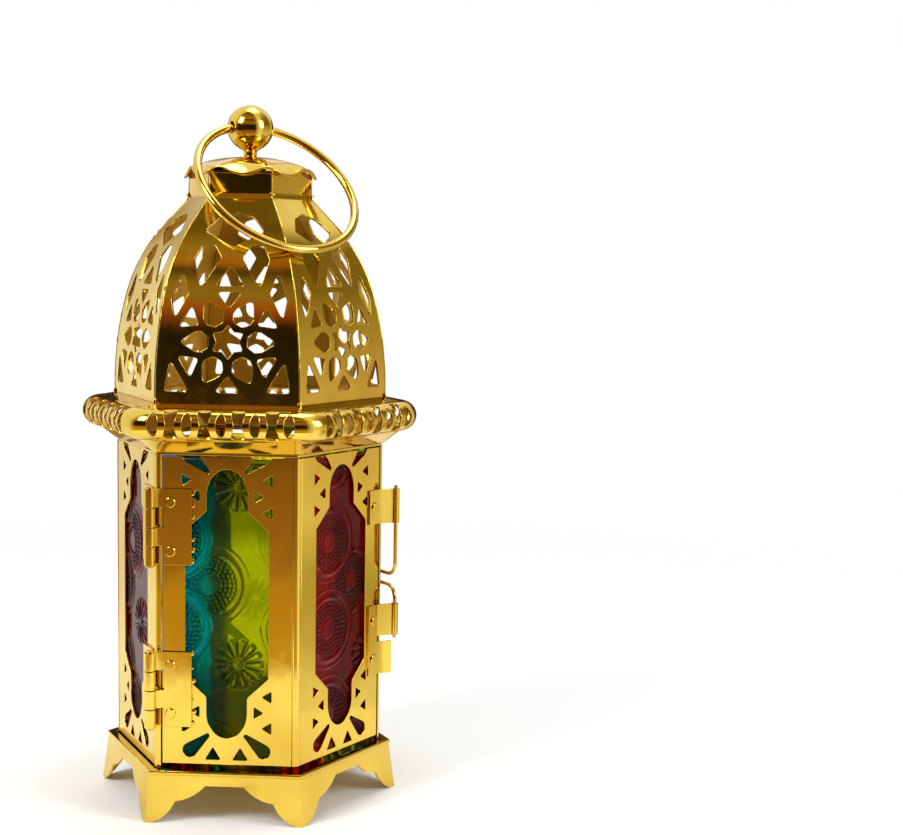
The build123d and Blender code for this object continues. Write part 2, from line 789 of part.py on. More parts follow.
def dome_panel():
    """Panel that faces +X, cut to its sector and pierced square to the sheet."""
    outer = DomeCurve(0)
    inner = DomeCurve(dome_sheet)
    ends = [Line(outer.points[0], inner.points[0]), Line(outer.top_point(), inner.top_point())]
    section = make_face(outer.edges() + inner.edges() + ends)
    body = extrude(Plane.XZ * section, amount=dome_corner_radius, both=True)
    reach = dome_corner_radius + overrun
    corner = heading(half_sector, reach)
    wedge = Polygon((0, 0), (corner.X, -corner.Y), (corner.X, corner.Y), align=None)
    body &= extrude(wedge, amount=neck_top_z + overrun)
    cuts = []
    for outline in dome_holes():
        middle = sum(along for _, along in outline) / len(outline)
        point, lean = outer.at(middle)
        outward = Vector(cos(lean), 0, sin(lean))
        frame = Plane(origin=(point.X, 0, point.Y), x_dir=(0, 1, 0), z_dir=outward)
        hole = Polygon(*[(across, along - middle) for across, along in outline], align=None)
        cuts.append(frame * extrude(hole, amount=overrun / 2, both=True))
    return body - cuts


# Cap, plate and finial
plate_top_z = neck_top_z + plate_thickness
cap_crown_z = plate_top_z + cap_rise
cap_rim_z = plate_top_z - cap_lip_drop
ball_z = cap_crown_z + stem_height + ball_radius


def neck_plate():
    plate = prism(neck_corner_radius, neck_top_z, plate_top_z)
    return plate - Pos(0, 0, plate_top_z) * Cylinder(screw_radius + screw_clearance, overrun)


def cap_dish(drop, inset):
    """Low dome with a turned-down lip, lowered by the sheet and set in at the lip."""
    crown = Vector(cap_crown_radius, cap_crown_z - drop)
    shoulder = Vector(cap_lobe_radius - cap_shoulder_from_rim - inset, plate_top_z + cap_shoulder_rise - drop)
    rim = Vector(cap_lobe_radius - inset, cap_rim_z)
    run = crown - shoulder
    bow = Vector(-run.Y, run.X).normalized() * -cap_bow
    edges = [
        ThreePointArc(shoulder, (shoulder + crown) / 2 + bow, crown),
        Polyline(crown, (0, crown.Y), (0, rim.Y), rim, shoulder),
    ]
    return revolve(Plane.XZ * make_face(edges), Axis.Z)


def cap():
    """Thin dish on a hub. Its lip hangs in rounded lobes over the top of the neck."""
    body = cap_dish(0, 0) - cap_dish(cap_sheet, cap_lip_sheet)
    step = 360 / cap_lobes
    half_width = cap_scallop_width_share * cap_lobe_radius * sin(radians(step / 2))
    arch = Ellipse(half_width, cap_scallop_height)
    for index in range(cap_lobes):
        turn = (index + cap_lobe_turn_share) * step - quarter_turn + step / 2
        frame = Plane(origin=(0, 0, cap_rim_z), x_dir=heading(turn + quarter_turn), z_dir=heading(turn))
        body -= frame * extrude(arch, amount=cap_lobe_radius + overrun)
    hub = Pos(0, 0, plate_top_z) * Cylinder(
        cap_hub_radius, cap_rise - cap_sheet / 2, align=(Align.CENTER, Align.CENTER, Align.MIN)
    )
    return body + hub - Pos(0, 0, cap_crown_z) * Cylinder(screw_radius + screw_clearance, 2 * cap_rise + overrun)


def ball_finial():
    stem_length = stem_height + ball_radius
    stem = Pos(0, 0, cap_crown_z) * Cylinder(stem_radius, stem_length, align=(Align.CENTER, Align.CENTER, Align.MIN))
    body = Pos(0, 0, ball_z) * Sphere(ball_radius) + stem
    bore = screw_reach + screw_clearance
    body -= Pos(0, 0, cap_crown_z) * Cylinder(
        screw_radius + screw_clearance, bore, align=(Align.CENTER, Align.CENTER, Align.MIN)
    )
    through = Plane(origin=(0, 0, ball_z), z_dir=heading(ring_lean_angle + quarter_turn))
    return body - through * Cylinder(ring_hole_radius, 2 * ball_radius + overrun)


def finial_screw():
    length = cap_crown_z + screw_reach - neck_top_z
    shank = Cylinder(screw_radius, length, align=(Align.CENTER, Align.CENTER, Align.MIN))
    head = Cylinder(screw_head_radius, screw_head_height, align=(Align.CENTER, Align.CENTER, Align.MAX))
    head = chamfer(head.edges().group_by(Axis.Z)[0], rivet_chamfer)
    return Pos(0, 0, neck_top_z) * (shank + head)


# Hanging ring, leaning on the dome's ridge
ring_drop = ring_radius - ring_sagitta / 2


def ring_point(tilt, turn):
    """Point of the ring's middle line, when the ring leans out from hanging straight down."""
    along = ring_drop + ring_radius * cos(turn)
    lean = heading(ring_lean_angle, along * sin(tilt))
    aside = heading(ring_lean_angle + quarter_turn, ring_radius * sin(turn))
    return lean.X + aside.X, lean.Y + aside.Y, ball_z - along * cos(tilt)


def ridge_points():
    """Points up the dome's corner ridges, on the outside of the sheet."""
    ridges = []
    for index in range(ring_samples):
        point, _ = dome_curve.at(dome_pattern_length * index / (ring_samples - 1))
        for angle in corner_angles.values():
            corner = heading(angle, point.X / cos(radians(half_sector)))
            ridges.append((corner.X, corner.Y, point.Y))
    return ridges


def ring_rest_tilt():
    """Lean at which the wire, swung down from level, comes to a ridge."""
    ridges = ridge_points()
    turns = [radians(half_sector * (2 * index / ring_samples - 1)) for index in range(ring_samples + 1)]

    def clear(tilt):
        wire = [ring_point(tilt, turn) for turn in turns]
        near = min(hypot(x - a, y - b, z - c) for x, y, z in wire for a, b, c in ridges)
        return near > ring_wire_radius + ring_rest_gap

    step = radians(1)
    high = radians(quarter_turn)
    while clear(high - step):
        high -= step
    low = high - step
    for _ in range(ring_search_steps):
        middle = (low + high) / 2
        if clear(middle):
            high = middle
        else:
            low = middle
    return high


def hanging_ring():
    tilt = ring_rest_tilt()
    lean = heading(ring_lean_angle)
    downward = Vector(lean.X * sin(tilt), lean.Y * sin(tilt), -cos(tilt))
    center = Vector(0, 0, ball_z) + downward * ring_drop
    along_axis = heading(ring_lean_angle + quarter_turn)
    frame = Plane(origin=center, x_dir=along_axis, z_dir=along_axis.cross(downward))
    print("ring leans", round(degrees(tilt), 3), "degrees from hanging straight down")
    return frame * Torus(ring_radius, ring_wire_radius)


# All pieces, by name
parts = {"base_tray": base_tray(), "candle_cup": candle_cup(), "cup_rivet": cup_rivet()}

mirrored_rivets = [(hinge_rivet_across, z) for z in hinge_rivet_z]
door_rivets = [(-hinge_rivet_across, z) for z in hinge_rivet_z]
for name in ("back_right", "back", "back_left", "front_left"):
    angle = face_angles[name]
    rivets = mirrored_rivets if name == "front_left" else ()
    parts[f"panel_{name}"] = panel(angle, floor_z, body_top_z, -panel_edge, panel_edge, rivets)
parts["door_panel_front"] = panel(
    face_angles["front"], door_bottom_z, door_top_z, -door_edge, panel_edge, door_rivets
)
parts["door_panel_side"] = panel(
    face_angles["front_right"], door_bottom_z, door_top_z, -panel_edge, door_edge, clasp_rivet_places
)
for name, angle in face_angles.items():
    parts[f"pane_{name}"] = pane(angle)

for name in ("back_right", "back_left", "left"):
    parts[f"post_{name}"] = post(corner_angles[name], floor_z, body_top_z, (-1, 1))
parts["post_hinge"] = post(corner_angles["hinge"], floor_z, body_top_z, (-1,), hinge_rivet_z)
parts["post_latch"] = post(corner_angles["latch"], floor_z, body_top_z, (1,))
parts["post_door"] = post(corner_angles["door"], door_bottom_z, door_top_z, (-1, 1))
parts["header"] = header()

front_frame = face_frame(face_angles["front"], body_apothem)
left_frame = face_frame(face_angles["front_left"], body_apothem)
for name, z in hinge_z.items():
    parts[f"hinge_{name}_door_leaf"] = front_frame * hinge_leaf(z, 0)
    parts[f"hinge_{name}_body_leaf"] = left_frame * hinge_leaf(z, 1).mirror(Plane.YZ)
    parts[f"hinge_{name}_pin"] = hinge_pin(z)
leaf_rivet = rivet(hinge_leaf_sheet, 0)
wing_rivet = rivet(hinge_leaf_sheet, wing_sheet)
bracket_rivet = rivet(clasp_sheet, 0)
parts["hinge_door_rivets"] = Compound([front_frame * Pos(*place, 0) * leaf_rivet for place in door_rivets])
parts["hinge_body_rivets"] = Compound([left_frame * Pos(*place, 0) * wing_rivet for place in mirrored_rivets])
parts["clasp_rivets"] = Compound([clasp_face * Pos(*place, 0) * bracket_rivet for place in clasp_rivet_places])

for name in ("upper", "lower"):
    parts[f"clasp_{name}_bracket"] = clasp_bracket(name)
parts["clasp_bail"] = clasp_bail()
parts["clasp_catch"] = clasp_catch()

parts["collar"] = collar()
one_dome_panel = dome_panel()
for name, angle in face_angles.items():
    parts[f"dome_panel_{name}"] = Rot(0, 0, angle) * one_dome_panel
parts["neck_plate"] = neck_plate()
parts["cap"] = cap()
parts["ball_finial"] = ball_finial()
parts["finial_screw"] = finial_screw()
parts["hanging_ring"] = hanging_ring()

os.makedirs("parts", exist_ok=True)
for name, shape in parts.items():
    export_step(shape, f"parts/{name}.step")
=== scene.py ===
import math

import bmesh
import bpy
import numpy as np
from mathutils import Matrix, Vector, geometry


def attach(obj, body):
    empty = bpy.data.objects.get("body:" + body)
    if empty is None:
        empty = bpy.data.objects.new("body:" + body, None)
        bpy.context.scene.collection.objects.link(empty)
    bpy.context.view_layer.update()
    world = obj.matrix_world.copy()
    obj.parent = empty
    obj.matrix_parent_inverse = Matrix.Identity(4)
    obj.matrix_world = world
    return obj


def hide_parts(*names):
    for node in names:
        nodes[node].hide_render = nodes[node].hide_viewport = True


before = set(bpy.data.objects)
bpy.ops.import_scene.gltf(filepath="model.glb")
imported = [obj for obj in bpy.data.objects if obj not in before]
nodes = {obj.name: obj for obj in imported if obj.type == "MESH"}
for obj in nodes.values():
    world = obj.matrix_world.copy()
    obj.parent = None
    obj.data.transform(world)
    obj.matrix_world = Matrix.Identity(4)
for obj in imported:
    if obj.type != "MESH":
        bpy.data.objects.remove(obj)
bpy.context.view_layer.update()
scene = bpy.context.scene

MM = 0.001
SIDES = 6
SECTOR = math.radians(60)
FACES = {"front": -90, "front_right": -30, "back_right": 30, "back": 90, "back_left": 150, "front_left": 210}


# Materials
class Nodes:
    """Shorthand for a node tree."""

    def __init__(self, name):
        self.material = bpy.data.materials.new(name)
        self.material.use_nodes = True
        self.tree = self.material.node_tree
        self.tree.nodes.clear()
        self.output = self.add("ShaderNodeOutputMaterial")

    def add(self, kind, inputs=None, **settings):
        node = self.tree.nodes.new(kind)
        for key, value in settings.items():
            setattr(node, key, value)
        for key, value in (inputs or {}).items():
            self.put(node.inputs[key], value)
        return node

    def put(self, socket, value):
        if isinstance(value, bpy.types.NodeSocket):
            self.tree.links.new(value, socket)
        else:
            socket.default_value = value

    def noise(self, scale, detail=2.0, roughness=0.5, stretch=(1, 1, 1)):
        place = self.add("ShaderNodeTexCoord").outputs["Object"]
        mapping = self.add("ShaderNodeMapping", {"Vector": place, "Scale": stretch})
        node = self.add(
            "ShaderNodeTexNoise",
            {"Vector": mapping.outputs["Vector"], "Scale": scale, "Detail": detail, "Roughness": roughness},
        )
        return node.outputs["Fac"]

    def ramp(self, value, stops):
        node = self.add("ShaderNodeValToRGB", {"Fac": value})
        elements = node.color_ramp.elements
        while len(elements) < len(stops):
            elements.new(0.5)
        for element, (place, color) in zip(elements, stops):
            element.position = place
            element.color = (*color, 1)
        return node.outputs["Color"]

    def bands(self, value, bands, unit=1.0):
        """Colours that follow each other along a value, each at its place."""
        low, high = bands[0][0], bands[-1][0]
        stops = [((place - low) / (high - low), color) for place, color in bands]
        return self.ramp(self.mapped(value, low * unit, high * unit, 0.0, 1.0), stops)

    def attribute(self, name):
        node = self.add("ShaderNodeAttribute", attribute_name=name, attribute_type="GEOMETRY")
        return node.outputs["Fac"]

    def surface(self, shader):
        self.put(self.output.inputs["Surface"], shader.outputs[0])
        return self.material

    def mapped(self, value, low, high, to_low, to_high):
        node = self.add(
            "ShaderNodeMapRange",
            {"Value": value, "From Min": low, "From Max": high, "To Min": to_low, "To Max": to_high},
        )
        return node.outputs["Result"]

    def mix(self, factor, a, b, mode="MIX"):
        node = self.add("ShaderNodeMix", data_type="RGBA", blend_type=mode)
        self.put(node.inputs["Factor"], factor)
        self.put(node.inputs["A"], a)
        self.put(node.inputs["B"], b)
        return node.outputs["Result"]

    def bump(self, height, strength, distance, normal=None):
        inputs = {"Height": height, "Strength": strength, "Distance": distance}
        if normal is not None:
            inputs["Normal"] = normal
        return self.add("ShaderNodeBump", inputs).outputs["Normal"]


def gold(name, light, dark, shine=(0.07, 0.16), wave=0.22):
    """Bright plated brass: colour drift, painted shade that darkens and browns its corners, rubbed patches
    and wavy sheet.
    """
    n = Nodes(name)
    drift = n.noise(70, 3)
    color = n.ramp(drift, [(0.3, dark), (0.72, light)])
    # painted shade: ambient occlusion darkens and browns the colour in corners and crevices
    corners = n.add("ShaderNodeAmbientOcclusion", {"Distance": 0.0022}, samples=6, only_local=False)
    shade = n.ramp(corners.outputs["AO"], [(0.25, (0.5, 0.36, 0.2)), (0.8, (1, 1, 1))])
    color = n.mix(0.55, color, n.mix(1.0, color, shade, "MULTIPLY"))
    broad = n.ramp(n.noise(26, 1.5), [(0.48, (1, 1, 1)), (0.78, (0.66, 0.53, 0.34))])
    color = n.mix(0.75, color, n.mix(1.0, color, broad, "MULTIPLY"))
    specks = n.ramp(n.noise(1500, 2), [(0.68, (1, 1, 1)), (0.8, (0.62, 0.5, 0.34))])
    color = n.mix(0.5, color, n.mix(1.0, color, specks, "MULTIPLY"))
    rough = n.mapped(n.noise(240, 4, 0.6), 0.35, 0.7, *shine)
    scratches = n.noise(900, 2, 0.5, (1.0, 1.0, 0.08))
    sheet = n.bump(n.noise(55, 1), wave, 0.0006)
    normal = n.bump(scratches, 0.03, 0.00008, sheet)
    shader = n.add(
        "ShaderNodeBsdfPrincipled",
        {"Base Color": color, "Metallic": 1.0, "Roughness": rough, "Normal": normal},
    )
    return n.surface(shader)


def glass(name, tints, banded=False, painted_height_shade=None):
    """Pressed glass, stained unevenly, with painted shade on the slopes and the sunk ground of its relief.

    Banded tints, with light and shade painted in, follow each other across the pane, each from its place.
    Painted shade dims it at heights.
    """
    n = Nodes(name)
    place = n.add("ShaderNodeSeparateXYZ", {"Vector": n.add("ShaderNodeTexCoord").outputs["Object"]})
    # painted light and shade laid across the pane by place
    if banded:
        shift = n.mapped(n.noise(190, 2), 0.3, 0.7, -0.001, 0.001)
        across = n.add("ShaderNodeMath", {0: place.outputs["X"], 1: shift}, operation="ADD")
        color = n.bands(across.outputs["Value"], tints, MM)
    else:
        color = n.ramp(n.noise(110, 3), [(0.3, tints[0]), (0.7, tints[1])])
    # painted shade dims the pane at the given heights
    if painted_height_shade is not None:
        dim = n.bands(place.outputs["Z"], [(rise, (shade, shade, shade)) for rise, shade in painted_height_shade], MM)
        color = n.mix(1.0, color, dim, "MULTIPLY")
    # painted shade: the relief's slopes and sunk ground darken the glass colour
    relief_shade_ramp = n.ramp(n.attribute("painted_relief_shade"), [(0.0, (1, 1, 1)), (1.0, (0.14, 0.18, 0.16))])
    color = n.mix(0.9, color, n.mix(1.0, color, relief_shade_ramp, "MULTIPLY"))
    normal = n.bump(n.noise(260, 2), 0.05, 0.0002)
    shader = n.add(
        "ShaderNodeBsdfPrincipled",
        {
            "Base Color": color,
            "Roughness": 0.04,
            "IOR": 1.28,
            "Specular Tint": (0.2, 0.2, 0.2, 1),
            "Transmission Weight": 0.86,
            "Normal": normal,
        },
    )
    return n.surface(shader)


GOLD = gold("gold_sheet", (0.87, 0.625, 0.1), (0.79, 0.53, 0.07))
GOLD_WIRE = gold("gold_wire", (0.84, 0.6, 0.12), (0.74, 0.49, 0.075), (0.07, 0.14), 0.05)
GOLD_INSIDE = gold("gold_inside", (0.84, 0.6, 0.13), (0.75, 0.5, 0.09), (0.3, 0.42), 0.1)
GLASS = {
    "glass_green": glass("glass_green", ((0.17, 0.38, 0.04), (0.28, 0.5, 0.06))),
    "glass_red": glass("glass_red", ((0.22, 0.002, 0.006), (0.36, 0.004, 0.01))),
    "glass_yellow": glass("glass_yellow", ((0.88, 0.62, 0.012), (0.97, 0.78, 0.02))),
    "glass_blue": glass("glass_blue", ((0.006, 0.24, 0.7), (0.012, 0.34, 0.86))),
}
# Tints of the two door panes, by millimetres from the middle of the lantern, with light and shade painted in
# painted see-through: teal and lime on the green where the blue and yellow panes behind show through, and a
# dark band between them for the post behind
FRONT_TINTS_PAINTED_LIGHT = (
    (-11, (0.004, 0.62, 0.43)),
    (-4.2, (0.004, 0.6, 0.41)),
    (-3.4, (0.08, 0.24, 0.08)),
    (-0.8, (0.14, 0.28, 0.03)),
    (0.8, (0.42, 0.56, 0.008)),
    (11, (0.46, 0.62, 0.008)),
)
# painted light and shade: the red side pane bright crimson near the front corner, dark towards the right
# corner
SIDE_TINTS_PAINTED_LIGHT = (
    (17, (0.72, 0.016, 0.02)),
    (22.0, (0.6, 0.01, 0.016)),
    (24, (0.28, 0.002, 0.008)),
    (31, (0.32, 0.003, 0.01)),
)
# painted shade: the front pane darkened low and high, standing in for the dark metal seen through it
FRONT_PAINTED_SHADE = ((18, 0.4), (32, 0.45), (38, 1.0), (64, 1.0), (69, 0.5), (84, 0.5))
DOOR_GLASS = {
    "front": glass("glass_green_front", FRONT_TINTS_PAINTED_LIGHT, True, FRONT_PAINTED_SHADE),
    "front_right": glass("glass_red_side", SIDE_TINTS_PAINTED_LIGHT, True),
}


# Building helpers
def node_points(node):
    return np.array([v.co for v in nodes[node].data.vertices]) / MM


def full_turn(count):
    """Angles evenly spaced round a circle."""
    return np.linspace(0, 2 * math.pi, count, endpoint=False)


def new_object(name, mesh, material, body, slot, replaced):
    piece = bpy.data.objects.new(name, mesh)
    scene.collection.objects.link(piece)
    if not mesh.materials:
        mesh.materials.append(material)
    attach(piece, body)
    if replaced:
        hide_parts(replaced)
    return piece


def finish_mesh(bm, name, sharp=35):
    mesh = bpy.data.meshes.new(name)
    bm.to_mesh(mesh)
    bm.free()
    mesh.shade_smooth()
    mesh.set_sharp_from_angle(angle=math.radians(sharp))
    return mesh


def eased_node(node, width, body, material=GOLD, slot="gold_metal"):
    """The CAD piece with its edges rounded, so that they catch the light."""
    bm = bmesh.new()
    bm.from_mesh(nodes[node].data)
    bmesh.ops.remove_doubles(bm, verts=bm.verts, dist=1e-6)
    bmesh.ops.dissolve_limit(bm, angle_limit=math.radians(0.4), verts=bm.verts, edges=bm.edges)
    mesh = finish_mesh(bm, "eased_" + node)
    piece = new_object("eased_" + node, mesh, material, body, slot, node)
    bevel = piece.modifiers.new("rounded_edges", "BEVEL")
    bevel.width = width * MM
    bevel.segments = 2
    bevel.limit_method = "ANGLE"
    bevel.angle_limit = math.radians(35)
    bevel.harden_normals = True
    bevel.use_clamp_overlap = True
    return piece


# Metal that keeps its CAD form
EASED = (
    ("lantern", 0.14, ("base_tray",)),
    ("lantern", 0.1, ("candle_cup", "cup_rivet")),
    ("lantern", 0.08, ("post_back_right", "post_back_left", "post_left", "post_hinge", "post_latch")),
    ("lantern", 0.1, ("header",)),
    ("lantern", 0.09, ("hinge_lower_body_leaf", "hinge_upper_body_leaf")),
    ("lantern", 0.05, ("hinge_lower_pin", "hinge_upper_pin")),
    ("lantern", 0.08, ("hinge_body_rivets", "neck_plate")),
    ("lantern", 0.06, ("finial_screw",)),
    ("door", 0.08, ("post_door",)),
    ("door", 0.09, ("hinge_lower_door_leaf", "hinge_upper_door_leaf")),
    ("door", 0.08, ("hinge_door_rivets", "clasp_rivets")),
    ("door", 0.07, ("clasp_upper_bracket", "clasp_lower_bracket")),
)
for body, width, names in EASED:
    for name in names:
        eased_node(name, width, body)
eased_node("clasp_bail", 0.02, "bail", GOLD_WIRE, "gold_wire")


# Lug of the catch, drawn in at its sides so that the bends of the bail pass over it
LUG_Z = 52.0
LUG_HALF = 0.65
LUG_SHARE = 0.78
catch = eased_node("clasp_catch", 0.08, "lantern")
for vertex in catch.data.vertices:
    off = vertex.co.z - LUG_Z * MM
    if abs(off) < (LUG_HALF + 0.05) * MM:
        vertex.co.z = LUG_Z * MM + LUG_SHARE * off


# Pierced sheet: outlines and holes in millimetres, laid on a face with rounded edges
UP = np.array((0, 0, 1))
EASE_TURNS = np.radians((0, 45, 90))


def face_axes(face):
    turn = math.radians(FACES[face])
    outward = np.array((math.cos(turn), math.sin(turn), 0))
    across = np.array((-math.sin(turn), math.cos(turn), 0))
    return outward, across


def round_corners(points, radius, steps=5):
    """Outline with its corners rounded, each by no more than its sides allow."""
    points = np.array(points, float)
    rounded_points = []
    for before, corner, after in zip(np.roll(points, 1, 0), points, np.roll(points, -1, 0)):
        back, ahead = before - corner, after - corner
        lengths = np.linalg.norm(back), np.linalg.norm(ahead)
        half = math.acos(np.clip(back @ ahead / lengths[0] / lengths[1], -1, 1)) / 2
        reach = min(radius / math.tan(half), 0.45 * min(lengths))
        start = corner + back * reach / lengths[0]
        end = corner + ahead * reach / lengths[1]
        for t in np.linspace(0, 1, steps):
            rounded_points.append(start * (1 - t) ** 2 + corner * 2 * t * (1 - t) + end * t**2)
    return np.array(rounded_points)


def circle(middle, radius):
    turns = full_turn(24)
    return np.array(middle) + radius * np.stack([np.cos(turns), np.sin(turns)], -1)


def mirror(points, across=True):
    """Outline turned over left to right, or top to bottom."""
    return np.array(points) * ((-1, 1) if across else (1, -1))


def wound(loop, clockwise):
    after = np.roll(loop, -1, 0)
    area = np.sum(loop[:, 0] * after[:, 1] - loop[:, 1] * after[:, 0])
    return loop[::-1] if (area > 0) == clockwise else loop


def open_side(loop):
    """Directions from the points of an outline into the open, for a sheet on its left."""
    ahead = np.roll(loop, -1, 0) - loop
    side = np.stack([ahead[:, 1], -ahead[:, 0]], -1)
    side /= np.linalg.norm(side, axis=1, keepdims=True)
    side = side + np.roll(side, 1, 0)
    return side / np.linalg.norm(side, axis=1, keepdims=True)


def inside(points, loop_points, after):
    """Which points lie on the sheet, by the number of outlines crossed on the way out."""
    within = np.zeros(len(points), bool)
    for (x0, y0), (x1, y1) in zip(loop_points, loop_points[after]):
        if y0 == y1:
            continue
        crosses = (y0 > points[:, 1]) != (y1 > points[:, 1])
        within ^= crosses & (points[:, 0] < x0 + (points[:, 1] - y0) * (x1 - x0) / (y1 - y0))
    return within


class Shell:
    """Collects faces with exact normals at their corners."""

    def __init__(self):
        self.points = []
        self.faces = []
        self.normals = []
        self.inside = []
        self.count = 0

    def add(self, points, faces, normals, within=False):
        """Normals are given for each corner of each face."""
        self.points.append(np.asarray(points))
        self.faces += (np.asarray(faces) + self.count).tolist()
        self.inside += [int(within)] * len(faces)
        self.normals.append(np.asarray(normals).reshape(-1, 3))
        self.count += len(points)

    def add_flat(self, points, faces):
        """Flat faces, each with its own normal."""
        points = np.asarray(points)
        for face in faces:
            corners = points[list(face)]
            normal = np.cross(corners[1] - corners[0], corners[2] - corners[0])
            normal /= np.linalg.norm(normal)
            self.add(corners, [list(range(len(face)))], np.tile(normal, (len(face), 1)))

    def mesh(self, name):
        mesh = bpy.data.meshes.new(name)
        mesh.from_pydata((np.concatenate(self.points) * MM).tolist(), [], self.faces)
        mesh.shade_smooth()
        mesh.normals_split_custom_set(np.concatenate(self.normals).tolist())
        mesh.materials.append(GOLD)
        mesh.materials.append(GOLD_INSIDE)
        mesh.polygons.foreach_set("material_index", self.inside)
        return mesh


def add_pierced(shell, outline, holes, spacing, sheet, ease, place, facing):
    """Adds a sheet with holes. Its two faces meet in rounded edges.

    place gives points of the sheet at a depth, and facing the outward normals there.
    """
    loops = [wound(np.array(outline), False)] + [wound(np.array(hole), True) for hole in holes]
    side = np.concatenate([open_side(loop) for loop in loops])
    rim = np.concatenate(loops) - ease * side
    starts = np.cumsum([0] + [len(loop) for loop in loops])
    after = np.concatenate([np.roll(np.arange(a, b), -1) for a, b in zip(starts, starts[1:])])
    inner = np.zeros((0, 2))
    if spacing is not None:
        low, high = rim.min(0), rim.max(0)
        grid = np.meshgrid(*[np.arange(a + step / 2, b, step) for a, b, step in zip(low, high, spacing)])
        grid = np.stack(grid, -1).reshape(-1, 2)
        grid = grid[inside(grid, rim, after)]
        gap = np.array([np.min(np.sum(((rim - point) / spacing) ** 2, 1)) for point in grid])
        inner = grid[gap > 0.2]
    flat = np.concatenate([rim, inner])
    edges = [(i, int(j)) for i, j in enumerate(after)]
    solved = geometry.delaunay_2d_cdt([Vector(point) for point in flat], edges, [], 0, 1e-6)
    origin = np.array([ids[0] for ids in solved[3]])
    triangles = origin[np.array(solved[2])]
    triangles = triangles[inside(flat[triangles].mean(1), rim, after)]

    normal = facing(flat)
    rim_normal = normal[: len(rim)]
    outward = place(rim + 1e-3 * side, 0) - place(rim, 0)
    outward /= np.linalg.norm(outward, axis=1, keepdims=True)
    layers = [place(flat, 0)]
    chains = [np.arange(len(rim))]
    leans = [rim_normal]
    count = len(flat)
    rings = [(turn, 1) for turn in EASE_TURNS[1:]] + [(turn, -1) for turn in EASE_TURNS[:0:-1]]
    for turn, way in rings:
        depth = ease * (1 - math.cos(turn))
        if way < 0:
            depth = sheet - depth
        layers.append(place(rim + side * ease * math.sin(turn), depth))
        leans.append(way * rim_normal * math.cos(turn) + outward * math.sin(turn))
        chains.append(np.arange(count, count + len(rim)))
        count += len(rim)
    layers.append(place(flat, sheet))
    chains.append(np.arange(count, count + len(rim)))
    leans.append(-rim_normal)

    shell.add(np.concatenate(layers), triangles, normal[triangles])
    base = shell.count - (count + len(flat))
    far = triangles[:, ::-1]
    shell.add(np.zeros((0, 3)), far + count + base - shell.count, -normal[far], True)
    i = np.arange(len(rim))
    for near, far, lean_near, lean_far in zip(chains, chains[1:], leans, leans[1:]):
        quads = np.stack([near[after], near[i], far[i], far[after]], -1)
        lean = np.stack([lean_near[after], lean_near[i], lean_far[i], lean_far[after]], 1)
        shell.add(np.zeros((0, 3)), quads + base - shell.count, lean)


# Body and door panels
WINDOW_Z = 51.1
WINDOW_HALF = 31.5
HALF_SIDE = 16.5
PANEL_SHEET = 0.5
PANEL_EASE = 0.09
TAB_RISES = (-19.53, 0.0, 19.53)
TAB_HALF = 1.6
TAB_OUTLINE = ((11.3, 0.5), (11.7, 0.5), (11.7, 3.0), (10.0, 3.0), (10.0, 2.6), (11.3, 2.6))
HINGE_RIVETS = [(13.0, z) for z in (25.3, 36.7, 63.4, 74.8)]
RIVET_HOLES = {
    "panel_front_left": HINGE_RIVETS,
    "door_panel_front": [(-x, z) for x, z in HINGE_RIVETS],
    "door_panel_side": [(12.8, z) for z in (70.8, 42.5, 33.1)],
}


def window_outline():
    """Cartouche about its middle: soft shoulders, and an arch at each end."""
    right = [(4.75, -25.5), (4.75, -21.8), (9.7, -17.2), (9.7, 17.2), (4.75, 21.8), (4.75, 25.5)]
    corners = np.array(right + [(-x, -y) for x, y in right])
    steps = 5
    soft = round_corners(corners, 0.8, steps).reshape(-1, steps, 2)[1:5].reshape(-1, 2)
    turns = np.linspace(0, math.pi, 25)
    arch = np.stack([4.75 * np.cos(turns), 25.5 + 6 * np.sin(turns)], -1)
    return np.concatenate([soft, arch, -soft, -arch])


def drop_outline():
    """Teardrop: two circles and the lines that touch both."""
    bulb = np.array((0.521 * HALF_SIDE, 1.095 * WINDOW_HALF))
    tip = np.array((0.273 * HALF_SIDE, 0.984 * WINDOW_HALF))
    large, small = 1.7, 0.5
    run = bulb - tip
    lean = math.atan2(run[1], run[0])
    spread = math.pi - math.acos((large - small) / np.linalg.norm(run))
    points = []
    arcs = ((bulb, large, -spread, spread), (tip, small, spread, 2 * math.pi - spread))
    for middle, radius, start, end in arcs:
        for turn in np.linspace(lean + start, lean + end, 16):
            points.append(middle + radius * np.array((math.cos(turn), math.sin(turn))))
    return np.array(points)


def panel_holes():
    triangles = []
    for base, apex, height in ((0.636, 0.497, 0.92), (0.385, 0.521, 0.803), (0.636, 0.497, 0.683)):
        z = height * WINDOW_HALF
        corners = [(base * HALF_SIDE, z - 1.4), (base * HALF_SIDE, z + 1.4), (apex * HALF_SIDE, z)]
        triangles.append(round_corners(corners, 0.25))
    holes = [window_outline()]
    for hole in [drop_outline()] + triangles:
        for upright in (hole, mirror(hole)):
            holes += [upright, mirror(upright, False)]
    low = -1.07 * WINDOW_HALF, -1.165 * WINDOW_HALF
    for across in (-0.194, 0.194):
        corners = [(across, low[0]), (across - 0.112, low[1]), (across + 0.112, low[1])]
        holes.append(round_corners([(x * HALF_SIDE, z) for x, z in corners], 0.25))
    return [hole + (0, WINDOW_Z) for hole in holes]


PANEL_HOLES = panel_holes()


def notch(hole, top):
    """The part of a hole below the sheet's top edge, from its right end to its left end."""
    hole = wound(hole, True)
    below = hole[:, 1] < top
    first = int(np.flatnonzero(below & ~np.roll(below, 1))[0])
    hole, below = np.roll(hole, -first, 0), np.roll(below, -first)
    last = int(np.flatnonzero(~below)[0])
    ends = []
    for high, low in ((hole[-1], hole[0]), (hole[last], hole[last - 1])):
        share = (top - low[1]) / (high[1] - low[1])
        ends.append(low + (high - low) * share)
    return np.concatenate([ends[:1], hole[:last], ends[1:]])


